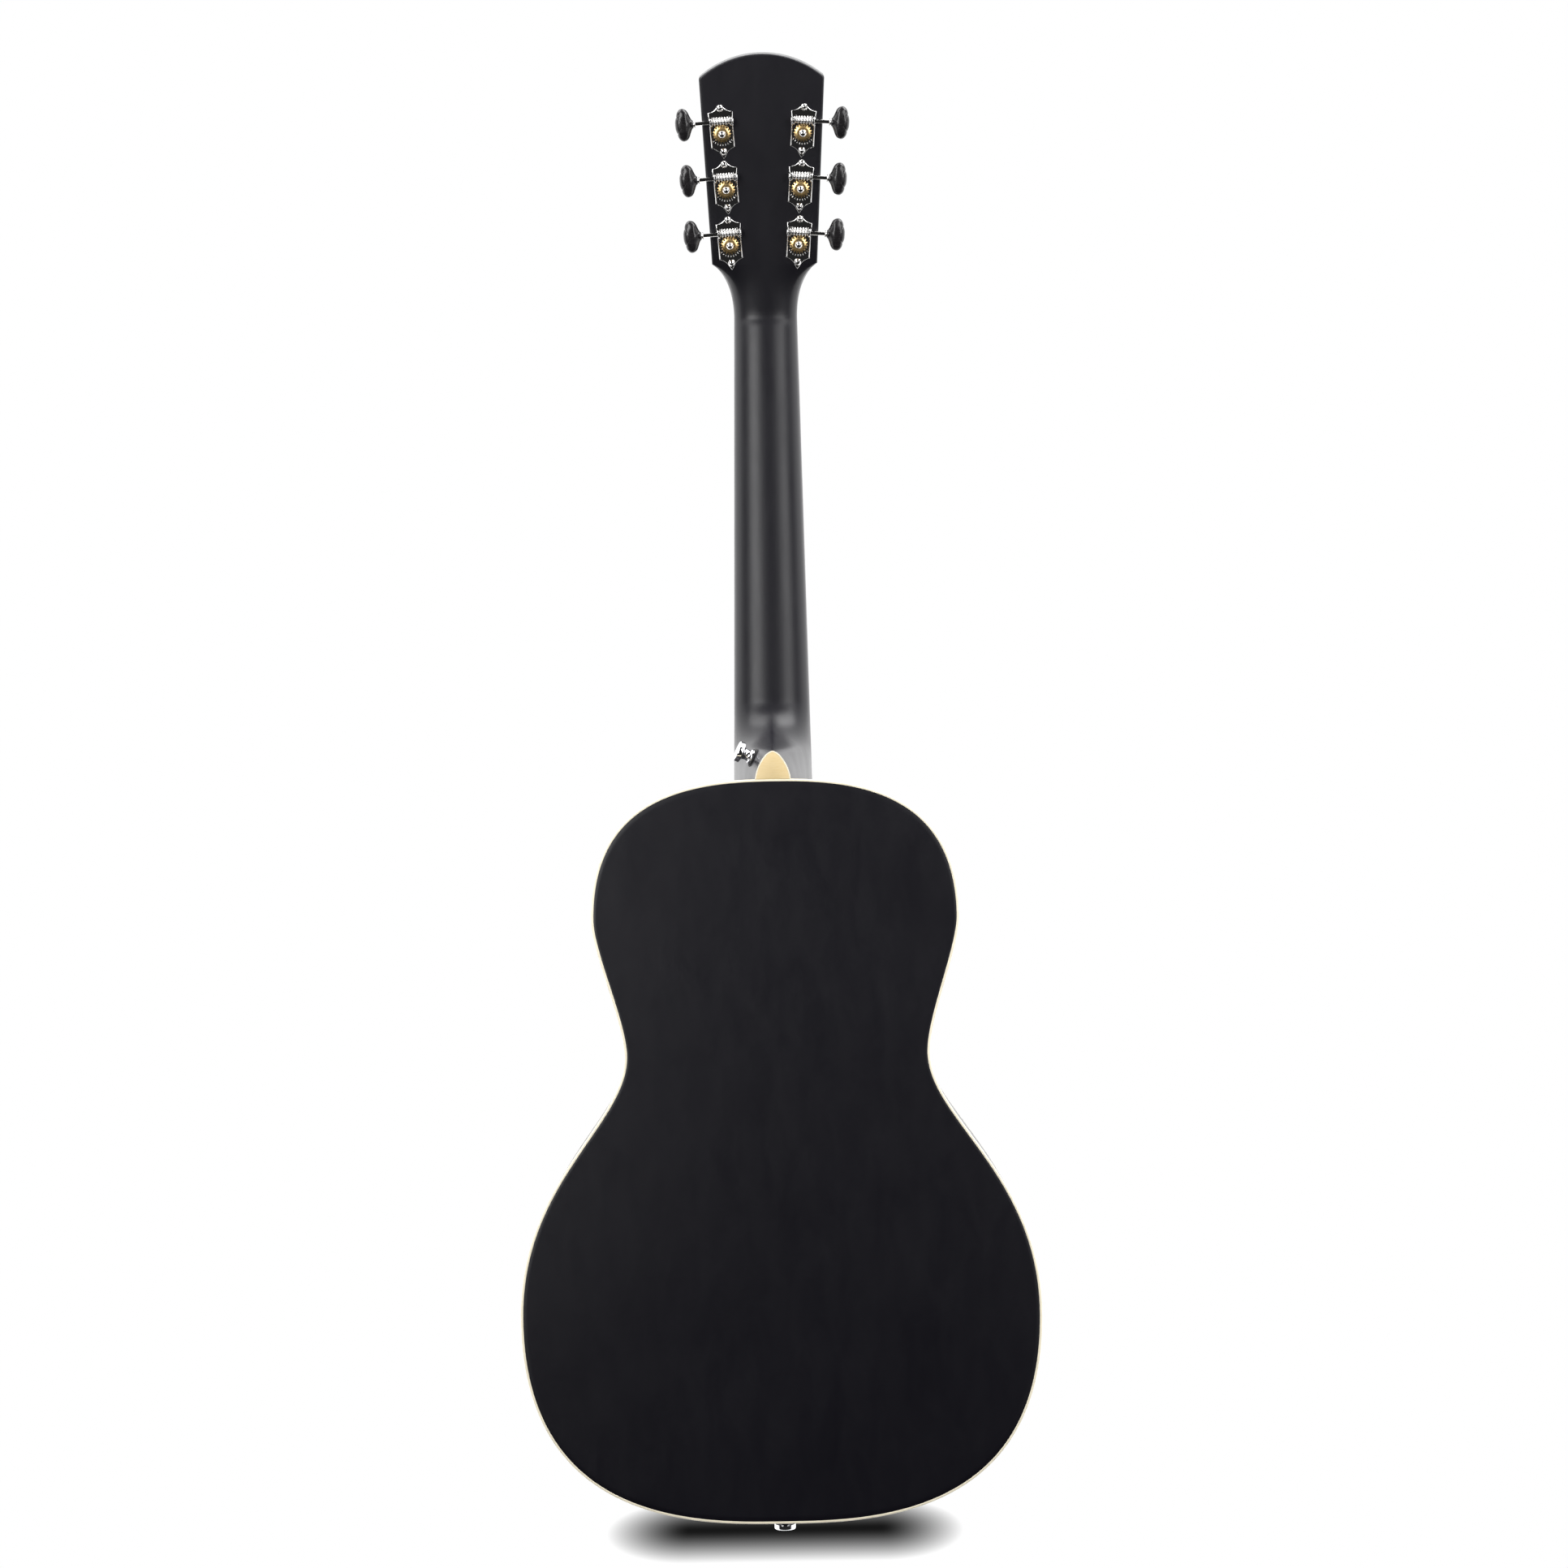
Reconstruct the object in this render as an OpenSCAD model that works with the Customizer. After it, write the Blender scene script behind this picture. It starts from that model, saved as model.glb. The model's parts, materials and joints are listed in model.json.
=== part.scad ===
// Twelve-fret parlor guitar of size 0 with six open-gear tuners.
// Frame: +Z runs from tail to head, +Y points out of the back and
// +X points to the treble side. The origin is the centre of the rim
// of the end strap button. All lengths are millimetres.

/* [Body outline] */

// Length of the body over the binding.
body_length = 487.2; // [480:0.1:495]
// Half width of the lower bout over the binding.
lower_half = 170.7; // [166:0.1:176]
// Height of the widest line of the lower bout above the tail.
lower_z = 135.6; // [130:0.1:142]
// Half width of the waist over the binding.
waist_half = 100; // [95:0.1:105]
// Height of the waist above the tail.
waist_z = 306.7; // [300:0.1:312]
// Half width of the upper bout over the binding.
upper_half = 120.9; // [116:0.1:125]
// Height of the widest line of the upper bout above the tail.
upper_z = 396.3; // [392:0.1:402]
// Straightness of the outline at the middle of the tail.
tail_handle = 50.2; // [44:0.1:56]
// Straightness of the outline beside the neck.
shoulder_handle = 45; // [40:0.1:52]

/* [Body box] */

// Depth of the body at the tail.
depth_tail = 104; // [98:0.5:110]
// Depth of the body at the neck joint.
depth_neck = 89; // [84:0.5:95]
// Radius of the dome of the back.
dome_radius = 4572; // [4000:1:6000]
// Thickness of the soundboard.
top_t = 2.8; // [2.4:0.1:3.2]
// Thickness of the back.
back_t = 2.6; // [2.2:0.1:3]
// Thickness of the bent sides.
side_t = 2.4; // [2.2:0.1:2.8]
// Width of the binding seen from the back.
binding_t = 1.6; // [1.2:0.1:1.8]
// Height of the binding seen from the side.
binding_h = 6; // [5:0.1:7]
// Radius of the soundhole.
hole_r = 47.5; // [44:0.1:50]

/* [Neck] */

// Vibrating length of the strings.
scale_length = 628.65; // [620:0.05:636]
// Half width of the fingerboard at the nut.
nut_half = 21.45; // [20.5:0.05:22.5]
// Half width of the fingerboard at the neck joint.
joint_half = 26.5; // [25.5:0.1:27.5]
// Thickness of the fingerboard.
board_t = 6; // [5:0.1:7]
// Depth of the neck wood at the nut.
neck_nut_d = 15; // [14:0.1:16]
// Depth of the neck wood beside the heel.
neck_heel_d = 17.5; // [16.5:0.1:19]
// Height of the heel cap above the body.
cap_h = 18.5; // [17:0.1:20]
// Half width of the heel cap at the body.
cap_half = 11.75; // [10.5:0.05:13]
// Thickness of the heel cap.
cap_t = 2; // [1.5:0.1:2.5]
// Distance from the body at which the heel leaves the neck.
heel_reach = 52; // [46:0.5:58]
// Number of frets.
fret_count = 19; // [18:1:20]

/* [Headstock] */

// Angle between the headstock and the neck.
head_angle = 15; // [13:0.1:17]
// Thickness of the headstock wood.
head_t = 13.5; // [12.5:0.1:14.5]
// Thickness of the overlay on the front of the headstock.
overlay_t = 1.5; // [1.2:0.1:2]
// Distance of the lower corners from the nut.
head_low_u = 37.9; // [36:0.1:40]
// Half width between the lower corners.
head_low_half = 35.5; // [34.5:0.1:37]
// Distance of the upper corners from the nut.
head_top_u = 162.2; // [159:0.1:165]
// Half width between the upper corners.
head_top_half = 41.9; // [40.5:0.1:43]
// Distance of the tip from the nut.
head_tip_u = 177.6; // [175:0.1:180]

/* [Tuners] */

// Lean of each tuner, following the edge of the headstock.
tuner_lean = 4; // [2:0.1:5]
// Number of gear teeth.
gear_teeth = 18; // [18:1:18]
// Radius over the gear teeth.
gear_r = 6.15; // [6.05:0.01:6.2]
// Thickness of each gear.
gear_t = 2.8; // [2.4:0.1:3]
// Distance between the gear axis and the worm axis.
worm_distance = 8.25; // [8.2:0.01:8.4]
// Height of the worm axis above the headstock.
worm_height = 4.8; // [4.7:0.1:5.2]
// Radius of each string post.
post_r = 3; // [2.8:0.05:3]
// Distance from the post to the outer end of the button.
button_reach = 30.7; // [29.5:0.1:31.5]
// Running clearance on each radius.
run_gap = 0.06; // [0.04:0.01:0.09]

/* [Strap buttons] */

// Radius of the rim of each strap button.
rim_r = 7; // [6.5:0.1:7.5]
// Thickness of the rim.
rim_t = 4; // [3.5:0.1:4.5]
// Length of each strap button.
strap_length = 11; // [10.8:0.1:13]
// Thickness of the felt washer.
felt_t = 2; // [1.5:0.1:2.5]
// Upward tilt of the strap button on the heel.
heel_button_tilt = 24; // [20:1:30]
// Lean of the strap button on the heel, out of the back.
heel_button_lean = 8; // [0:1:12]

/* [Hidden] */

// Sampling of the curves.
rim_steps = 20;
round_fn = 48;
string_fn = 16;
dome_fn = 256;

// Distance by which a cutting body runs past the surface it cuts.
over = 1;
// Space left between two pieces that are glued or pressed together.
glue = 0.02;
felt_gap = 0.04;

// Main planes and heights.
front_y = -depth_tail / 2;
back_tail_y = depth_tail / 2;
back_neck_y = front_y + depth_neck;
top_in_y = front_y + top_t;
tail_z = felt_t + strap_length - rim_t / 2;
joint_z = tail_z + body_length;
nut_z = joint_z + scale_length / 2;
saddle_z = nut_z - scale_length;
board_y = front_y - board_t;
cap_y = back_neck_y - cap_t;

// Lengths of the remaining curve handles of the outline.
lower_down = 138.6;
lower_up = 91.2;
waist_down = 43.2;
waist_up = 22.9;
upper_down = 21.2;
upper_up = 87.4;

function bezier(p, t) =
    pow(1 - t, 3) * p[0] + 3 * t * pow(1 - t, 2) * p[1]
    + 3 * t * t * (1 - t) * p[2] + pow(t, 3) * p[3];

function mix(a, b, t) = a + (b - a) * t;
function clip(t) = min(1, max(0, t));
function ease(t) = let (c = clip(t)) c * c * (3 - 2 * c);

tail_curve = [
    [0, 0], [tail_handle, 0], [lower_half, lower_z - lower_down], [lower_half, lower_z]
];
flank_curve = [
    [lower_half, lower_z], [lower_half, lower_z + lower_up],
    [waist_half, waist_z - waist_down], [waist_half, waist_z]
];
waist_curve = [
    [waist_half, waist_z], [waist_half, waist_z + waist_up],
    [upper_half, upper_z - upper_down], [upper_half, upper_z]
];
shoulder_curve = [
    [upper_half, upper_z], [upper_half, upper_z + upper_up],
    [shoulder_handle, body_length], [0, body_length]
];

function trace(curve, first) =
    [for (i = [first : rim_steps]) bezier(curve, i / rim_steps)];

half_rim = concat(
    trace(tail_curve, 0), trace(flank_curve, 1),
    trace(waist_curve, 1), trace(shoulder_curve, 1)
);
rim_last = len(half_rim) - 1;

function rim_before(i) =
    i == 0 ? [-half_rim[1][0], half_rim[1][1]] : half_rim[i - 1];
function rim_after(i) =
    i == rim_last ? [-half_rim[i - 1][0], half_rim[i - 1][1]] : half_rim[i + 1];
function inward(i) =
    let (d = rim_after(i) - rim_before(i)) [-d[1], d[0]] / norm(d);
function rim(inset) = [for (i = [0 : rim_last]) half_rim[i] + inset * inward(i)];
function closed(half) = concat(
    half,
    [for (i = [len(half) - 2 : -1 : 1]) [-half[i][0], half[i][1]]]
);

// Outline of the body, moved inward by the given distance.
module plan(inset) {
    translate([0, tail_z])
        polygon(closed(rim(inset)));
}

// Extrusion of a flat shape from one depth to another.
module slab(front, rear) {
    translate([0, rear, 0])
        rotate([90, 0, 0])
            linear_extrude(rear - front)
                children();
}

// Sphere of the domed back, moved inward by the given depth.
dome_rise = back_neck_y - back_tail_y;
dome_chord = norm([dome_rise, body_length]);
dome_drop = sqrt(dome_radius * dome_radius - dome_chord * dome_chord / 4);
dome_centre = [
    0,
    (back_tail_y + back_neck_y) / 2 - dome_drop * body_length / dome_chord,
    tail_z + body_length / 2 + dome_drop * dome_rise / dome_chord
];

// Small turn that puts one ring of facets on the tail when the sphere is meshed.
dome_turn = -0.36;

module dome(depth) {
    translate(dome_centre)
        rotate([dome_turn, 0, 0])
            sphere(r = dome_radius - depth, $fn = dome_fn);
}

// Layer below the dome between two depths, inside a flat shape.
module dome_layer(upper, lower) {
    difference() {
        intersection() {
            slab(0, back_tail_y + 20) children();
            dome(upper);
        }
        dome(lower);
    }
}

wood_black = [0.07, 0.07, 0.075];
wood_pale = [0.85, 0.7, 0.48];
wood_dark = [0.2, 0.12, 0.08];
cream = [0.93, 0.87, 0.7];
steel = [0.75, 0.75, 0.77];
brass = [0.8, 0.62, 0.3];
bone = [0.92, 0.9, 0.82];
felt = [0.05, 0.05, 0.05];

/* Body */

hole_z = nut_z - scale_length * (1 - pow(2, -fret_count / 12)) - hole_r - 3;
rosette_in = hole_r + 5;
rosette_out = hole_r + 10;
rosette_d = 0.8;
pin_z = saddle_z - 16;
string_step = 10.8;
pin_r = 2.4;

module ring(outer, inner) {
    difference() {
        plan(outer);
        plan(inner);
    }
}

// Holes through which the bridge pins pass.
module pin_holes(front, rear) {
    for (n = [1 : 6])
        translate([string_x(n, string_step), rear, pin_z])
            rotate([90, 0, 0])
                cylinder(h = rear - front, r = pin_r + glue, $fn = round_fn);
}

module rosette_ring(grow) {
    slab(front_y - grow, front_y + rosette_d)
        translate([0, hole_z])
            difference() {
                circle(r = rosette_out, $fn = 96);
                circle(r = rosette_in, $fn = 96);
            }
}

module soundboard() {
    color(wood_pale)
        difference() {
            slab(front_y, top_in_y)
                difference() {
                    plan(binding_t);
                    translate([0, hole_z])
                        circle(r = hole_r, $fn = 96);
                }
            rosette_ring(over);
            pin_holes(front_y - over, top_in_y + over);
        }
}

module rosette() {
    color(cream)
        rosette_ring(0);
}

module back() {
    color(wood_black)
        dome_layer(0, back_t)
            plan(binding_t);
}

module top_binding() {
    color(cream)
        slab(front_y, front_y + binding_h)
            ring(0, binding_t);
}

module back_binding() {
    color(cream)
        dome_layer(0, binding_h)
            ring(0, binding_t);
}

// Bent side on one half of the body.
module side(hand) {
    color(wood_black)
        difference() {
            intersection() {
                union() {
                    intersection() {
                        slab(front_y + binding_h, back_tail_y + 20) ring(0, side_t);
                        dome(binding_h);
                    }
                    intersection() {
                        slab(top_in_y, back_tail_y + 20) ring(binding_t, side_t);
                        dome(back_t);
                    }
                }
                translate([hand > 0 ? 0 : -lower_half - 10, -100, 0])
                    cube([lower_half + 10, 200, joint_z + 10]);
            }
            tenon(glue);
            end_screw_hole();
        }
}

module side_bass() {
    side(-1);
}

module side_treble() {
    side(1);
}

block_half = 30;
neck_block_h = 45;
tail_block_h = 18;
lining_t = 6;
lining_h = 14;

module neck_block_space() {
    translate([-block_half, -100, joint_z - neck_block_h])
        cube([2 * block_half, 200, neck_block_h + 10]);
}

module tail_block_space() {
    translate([-block_half, -100, tail_z - 10])
        cube([2 * block_half, 200, tail_block_h + 10]);
}

// Solid filling of the inside of the box.
module inner_box() {
    intersection() {
        slab(top_in_y, back_tail_y + 20) plan(side_t);
        dome(back_t);
    }
}

module neck_block() {
    color(wood_pale)
        difference() {
            intersection() {
                inner_box();
                neck_block_space();
            }
            tenon(glue);
        }
}

module tail_block() {
    color(wood_pale)
        difference() {
            intersection() {
                inner_box();
                tail_block_space();
            }
            end_screw_hole();
        }
}

module linings() {
    color(wood_pale)
        difference() {
            union() {
                slab(top_in_y, top_in_y + lining_h)
                    ring(side_t, side_t + lining_t);
                dome_layer(back_t, back_t + lining_h)
                    ring(side_t, side_t + lining_t);
            }
            neck_block_space();
            tail_block_space();
        }
}

brace_inset = side_t + lining_t + 0.5;
brace_w = 8;
brace_h = 13;
cross_z = 272;
cross_angle = 41;
plate_t = 2.5;

// Brace laid flat at a place and angle, with a long and a short side.
module flat_bar(x, z, angle, length, width) {
    translate([x, z])
        rotate(angle)
            square([length, width], center = true);
}

module top_braces() {
    color(wood_pale)
        difference() {
            union() {
                slab(top_in_y, top_in_y + brace_h)
                    intersection() {
                        plan(brace_inset);
                        union() {
                            flat_bar(0, cross_z, 90 - cross_angle, 520, brace_w);
                            flat_bar(0, cross_z, 90 + cross_angle, 520, brace_w);
                            flat_bar(0, hole_z + hole_r + 22, 0, 300, 12);
                        }
                    }
                slab(top_in_y, top_in_y + brace_h / 2)
                    intersection() {
                        plan(brace_inset);
                        union() {
                            flat_bar(28, 112, -24, 120, brace_w);
                            flat_bar(22, 76, -24, 110, brace_w);
                            flat_bar(70, 196, 40, 60, brace_w);
                            flat_bar(-70, 196, -40, 60, brace_w);
                        }
                    }
                slab(top_in_y, top_in_y + plate_t)
                    flat_bar(0, pin_z + 3, 0, 140, 40);
            }
            pin_holes(front_y - over, top_in_y + brace_h + over);
            translate([0, top_in_y + 30, hole_z])
                rotate([90, 0, 0])
                    cylinder(h = 60, r = hole_r + 2, $fn = 96);
        }
}

back_brace_z = [112, 222, 332, 432];

module back_braces() {
    color(wood_pale)
        union() {
            for (z = back_brace_z)
                dome_layer(back_t, back_t + brace_h)
                    intersection() {
                        plan(brace_inset);
                        flat_bar(0, z, 0, 400, brace_w + 2);
                    }
            dome_layer(back_t, back_t + 1.5)
                translate([-10, tail_z + tail_block_h + 1])
                    square([20, body_length - tail_block_h - neck_block_h - 2]);
        }
}

/* Bridge and strings */

bridge_t = 8.5;
bridge_half = 76;
bridge_w = 27;
saddle_half = 36;
saddle_w = 2.6;
saddle_y = front_y - 11.2;
saddle_fall = 0.8;
saddle_seat = 5;
nut_step = 7;
nut_w = 5;
nut_top = 1.2;
nut_lip = 0.1;
string_rs = [0.15, 0.2, 0.3, 0.4, 0.53, 0.67];

function string_x(n, step) = (3.5 - n) * step;
function string_r(n) = string_rs[n - 1];

module bridge() {
    color(wood_dark)
        difference() {
            union() {
                slab(front_y - bridge_t, front_y)
                    translate([-bridge_half + 18, pin_z - 9])
                        square([2 * bridge_half - 36, bridge_w]);
                slab(front_y - bridge_t / 2, front_y)
                    translate([-bridge_half, pin_z - 9])
                        square([2 * bridge_half, bridge_w]);
            }
            pin_holes(front_y - bridge_t - over, front_y + over);
            saddle_body(glue);
        }
}

module saddle_body(grow) {
    translate([-saddle_half - grow, saddle_y, saddle_z - saddle_w / 2 - grow])
        cube([
            2 * (saddle_half + grow),
            front_y - bridge_t + saddle_seat - saddle_y + grow,
            saddle_w + 2 * grow
        ]);
}

// Wedge cut from the bridge-pin side, so that the strings leave the crest freely.
module saddle_relief() {
    translate([-saddle_half - over, 0, 0])
        rotate([90, 0, 90])
            linear_extrude(2 * (saddle_half + over))
                polygon([
                    [saddle_y - over, saddle_z],
                    [saddle_y, saddle_z],
                    [saddle_y + saddle_fall, saddle_z - saddle_w],
                    [saddle_y - over, saddle_z - saddle_w]
                ]);
}

module saddle() {
    color(bone)
        difference() {
            saddle_body(0);
            saddle_relief();
        }
}

module bridge_pins() {
    color(bone)
        for (n = [1 : 6])
            translate([string_x(n, string_step), front_y - bridge_t, pin_z])
                rotate([90, 0, 0]) {
                    translate([0, 0, -18])
                        cylinder(h = 18.5, r = pin_r, $fn = round_fn);
                    translate([0, 0, glue])
                        cylinder(h = 1.6, r = 3.6, $fn = round_fn);
                    intersection() {
                        translate([0, 0, -1.4])
                            sphere(r = 4.6, $fn = round_fn);
                        translate([0, 0, 1])
                            cylinder(h = 4, r = 3.4, $fn = round_fn);
                    }
                }
}

// Radius of the ball at each bend of a string, and the share of the string
// radius by which the straight runs stop short of the bend.
bend_ball = 1.15;
bend_stop = 0.4;

// Points through which each string runs.
function string_nut(n) = [string_x(n, nut_step), board_y - nut_top - string_r(n), nut_z];
function string_saddle(n) = [
    string_x(n, string_step), saddle_y - bend_ball * string_r(n) - glue, saddle_z
];
function string_end(n) = [
    string_x(n, string_step),
    front_y - bridge_t - string_r(n) - 0.1,
    pin_z + 3.6 + string_r(n) + 0.1
];

// Point of the headstock frame in the frame of the part.
function head_point(x, u, h) = [
    x,
    front_y + u * sin(head_angle) - h * cos(head_angle),
    nut_z + u * cos(head_angle) + h * sin(head_angle)
];

coil_h = overlay_t + 4.2;
coil_gap = 0.06;
coil_turns = 4;

function coil_mid_r(n) = post_r + coil_gap + string_r(n);
function string_post_end(n) = head_point(
    hand(n) * (post_x(n) - coil_mid_r(n) - 2 * string_r(n) - 0.12), post_u(n), coil_h
);

// Round rod from one point towards another, starting and stopping short.
module rod(from, to, r, start, stop) {
    d = to - from;
    translate(from)
        rotate([0, acos(d[2] / norm(d)), atan2(d[1], d[0])])
            translate([0, 0, start])
                cylinder(h = norm(d) - start - stop, r = r, $fn = string_fn);
}

module string_ball(at, r) {
    translate(at)
        sphere(r = r, $fn = string_fn);
}

// String on both sides of the nut, grown by the given distance.
module string_path(n, grow) {
    r = string_r(n);
    short = bend_stop * r;
    rod(string_saddle(n), string_nut(n), r + grow, short, short);
    string_ball(string_nut(n), bend_ball * r + grow);
    rod(string_nut(n), string_post_end(n), r + grow, short, 0);
}

module strings() {
    color(steel)
        for (n = [1 : 6]) {
            string_path(n, 0);
            string_ball(string_saddle(n), bend_ball * string_r(n));
            rod(
                string_end(n), string_saddle(n), string_r(n),
                0, bend_stop * string_r(n)
            );
        }
}

/* Neck */

board_slope = (joint_half - nut_half) / (nut_z - joint_z);

function board_half(z) = nut_half + board_slope * (nut_z - z);
function fret_z(i) = nut_z - scale_length * (1 - pow(2, -i / 12));

board_end_z = fret_z(fret_count) - 3;
fret_r = 1.1;
fret_h = 1;
tang_w = 0.6;
tang_d = 1.8;
dot_r = 3;
dot_d = 1;

module fret_tangs(grow) {
    for (i = [1 : fret_count])
        translate([
            -board_half(fret_z(i)) - grow, board_y - grow, fret_z(i) - tang_w / 2
        ])
            cube([2 * (board_half(fret_z(i)) + grow), tang_d + grow, tang_w]);
}

module frets() {
    color(steel) {
        for (i = [1 : fret_count])
            intersection() {
                translate([
                    -board_half(fret_z(i)), board_y - fret_h + fret_r, fret_z(i)
                ])
                    rotate([0, 90, 0])
                        cylinder(h = 2 * board_half(fret_z(i)), r = fret_r, $fn = 32);
                translate([-50, board_y - 5, fret_z(i) - 5])
                    cube([100, 5, 10]);
            }
        fret_tangs(0);
    }
}

// Position dots as pairs of fret number and offset from the centre.
dots = [[5, 0], [7, 0], [9, 0], [12, -9], [12, 9], [15, 0]];

module dot_bodies(grow) {
    for (d = dots)
        translate([d[1], board_y + dot_d, (fret_z(d[0]) + fret_z(d[0] - 1)) / 2])
            rotate([90, 0, 0])
                cylinder(h = dot_d + grow, r = dot_r, $fn = round_fn);
}

module position_dots() {
    color(bone)
        dot_bodies(0);
}

module fingerboard() {
    color(wood_dark)
        difference() {
            slab(board_y, front_y)
                polygon([
                    [-board_half(nut_z), nut_z],
                    [board_half(nut_z), nut_z],
                    [board_half(board_end_z), board_end_z],
                    [-board_half(board_end_z), board_end_z]
                ]);
            fret_tangs(over);
            dot_bodies(over);
        }
}

module nut() {
    color(bone)
        difference() {
            translate([-nut_half, board_y - nut_top - nut_lip, nut_z])
                cube([2 * nut_half, board_t + nut_top + nut_lip, nut_w]);
            // Top face, sloping down with the strings.
            translate([-50, board_y - nut_top - nut_lip, nut_z])
                rotate([head_angle - 1.5, 0, 0])
                    translate([0, -20, -5])
                        cube([100, 20, 20]);
            for (n = [1 : 6])
                string_path(n, 0.05);
        }
}

// Half width of the headstock at a distance from the nut.
crown_rise = head_tip_u - head_top_u;
crown_r = (head_top_half * head_top_half + crown_rise * crown_rise) / (2 * crown_rise);
crown_u = head_tip_u - crown_r;
crown_angle = asin(head_top_half / crown_r);
// Share of the flare's spread reached at a share of its length.
function flare(q) = 0.75 * pow(clip(q), 3) + 0.25 * pow(clip(q), 1.5);

function head_half(u) =
    u < head_low_u
        ? mix(nut_half, head_low_half, flare(u / head_low_u))
        : mix(
            head_low_half, head_top_half,
            (u - head_low_u) / (head_top_u - head_low_u)
        );

flare_stations = [for (q = [0.32, 0.45, 0.57, 0.67, 0.76, 0.84, 0.91, 0.96, 1])
    q * head_low_u];
crown_steps = 14;
crown_stations = [for (i = [1 : crown_steps])
    let (a = crown_angle * (1 - i / (crown_steps + 0.35)))
    [crown_r * sin(a), crown_u + crown_r * cos(a)]];

// Outline of the headstock in front view, right half from bottom to tip.
overlay_u = nut_w / cos(head_angle) + 0.5;
head_outline = concat(
    [[head_half(overlay_u), overlay_u]],
    [for (u = flare_stations) [head_half(u), u]],
    [[head_top_half, head_top_u]],
    crown_stations
);

// Depth of the ridge line of the heel, from the cap to the neck.
ridge_curve = [
    [joint_z + cap_h, cap_y - front_y],
    [joint_z + cap_h + 1, 45],
    [joint_z + cap_h + 6, neck_heel_d + 4],
    [joint_z + heel_reach, neck_heel_d]
];
ridge_steps = 18;
profile_steps = 12;
keel = 0.3;

// Fall of the heel cap's arch from its full width at the body to its tip.
arch_power = 1.5;
arch_round = 0.6;
function arch(q) = pow(1 - pow(clip(q), arch_power), arch_round);
function cap_width(q) = cap_half * arch(q);

// Profile of a neck section: [width fraction, depth fraction] at a step.
function round_point(s) = [pow(max(0, 1 - pow(s, 2.3)), 0.5), s];
function heel_point(s, q) = [
    (1 - (1 - cap_half / joint_half) * pow(s, 0.85)) * arch(q * pow(s, 1.3)),
    s
];
function box_point(t) = t < 0.5 ? [1, 2 * t] : [2 - 2 * t, 1];

// Right half of a section: width, depth, heel share, heel height share and
// box share, as points in the plane of the section.
function half_section(w, d, heel, q, box) = [
    for (j = [0 : profile_steps])
        let (t = j / profile_steps, s = sin(90 * t))
        let (p = mix(mix(round_point(s), heel_point(s, q), heel), box_point(t), box))
        [max(keel, w * p[0]), d * p[1]]
];

function neck_half(z) = z < nut_z ? board_half(z) : head_half(z - nut_z);
function neck_depth(z) = mix(
    neck_heel_d, neck_nut_d, (z - joint_z - heel_reach) / (nut_z - joint_z - heel_reach)
);

// Sections as [origin z, tilt, right half].
heel_sections = [for (q = [-0.35, 0, 0.15, 0.3, 0.45, 0.6, 0.72, 0.82, 0.9, 0.96])
    [joint_z + q * cap_h, 0, half_section(
        board_half(joint_z + q * cap_h), cap_y - front_y, 1, clip(q), 0)]];
ridge_sections = [for (i = [0 : ridge_steps])
    let (p = bezier(ridge_curve, i / ridge_steps))
    [p[0], 0, half_section(
        board_half(p[0]), p[1],
        1 - ease((p[0] - joint_z - cap_h) / (heel_reach - cap_h)), 1, 0)]];
shaft_sections = [for (z = [joint_z + heel_reach + 12, joint_z + 120,
    joint_z + 200, joint_z + 260, nut_z - 14])
    [z, 0, half_section(board_half(z), neck_depth(z), 0, 1, 0)]];
turn_sections = [
    [nut_z - 8, 0.2, 0],
    [nut_z, 0.5, 0],
    [nut_z + 5.8, 0.8, 0.02]
];
bend_sections = [for (t = turn_sections)
    [t[0], t[1] * head_angle, half_section(
        neck_half(t[0]), mix(neck_nut_d, head_t, t[1]), 0, 1, t[2])]];
flare_sections = [for (u = flare_stations)
    [nut_z + u * cos(head_angle), head_angle, half_section(
        head_half(u), head_t, 0, 1, ease((u - 6) / (head_low_u - 6)))]];
crown_sections = [for (p = concat([[head_top_half, head_top_u]], crown_stations))
    [nut_z + p[1] * cos(head_angle), head_angle, half_section(p[0], head_t, 0, 1, 1)]];
neck_sections = concat(
    heel_sections, ridge_sections, shaft_sections,
    bend_sections, flare_sections, crown_sections
);

// Front line of the neck: straight along the board, then tilted at the nut.
function front_at(z) = front_y + max(0, z - nut_z) * tan(head_angle);
function place(s, p) = [
    p[0],
    front_at(s[0]) + p[1] * cos(s[1]),
    s[0] - p[1] * sin(s[1])
];
function loop(s) = concat(
    [for (p = s[2]) place(s, p)],
    [for (j = [profile_steps : -1 : 0]) place(s, [-s[2][j][0], s[2][j][1]])]
);

module neck_wood() {
    count = 2 * (profile_steps + 1);
    total = len(neck_sections);
    points = [for (s = neck_sections) each loop(s)];
    skin = [for (i = [0 : total - 2], k = [0 : count - 1])
        let (a = i * count + k, b = i * count + (k + 1) % count)
        each [[a, a + count, b], [b, a + count, b + count]]];
    ends = [
        [for (k = [0 : count - 1]) k],
        [for (k = [count - 1 : -1 : 0]) (total - 1) * count + k]
    ];
    polyhedron(points = points, faces = concat(skin, ends), convexity = 8);
}

tenon_half = 10;
tenon_flare = 13;
tenon_d = 14;
tenon_rear = 20;

// Dovetail that holds the neck in the neck block.
module tenon(grow) {
    slab(front_y + binding_h + 0.1 - grow, tenon_rear + grow)
        polygon([
            [-tenon_half - grow, joint_z + 3],
            [tenon_half + grow, joint_z + 3],
            [tenon_half + grow, joint_z],
            [tenon_flare + grow, joint_z - tenon_d - grow],
            [-tenon_flare - grow, joint_z - tenon_d - grow],
            [-tenon_half - grow, joint_z]
        ]);
}

rod_y = front_y + 5.5;
rod_r = 2.5;
pocket_half = 4.5;
pocket_u = 24;

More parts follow.
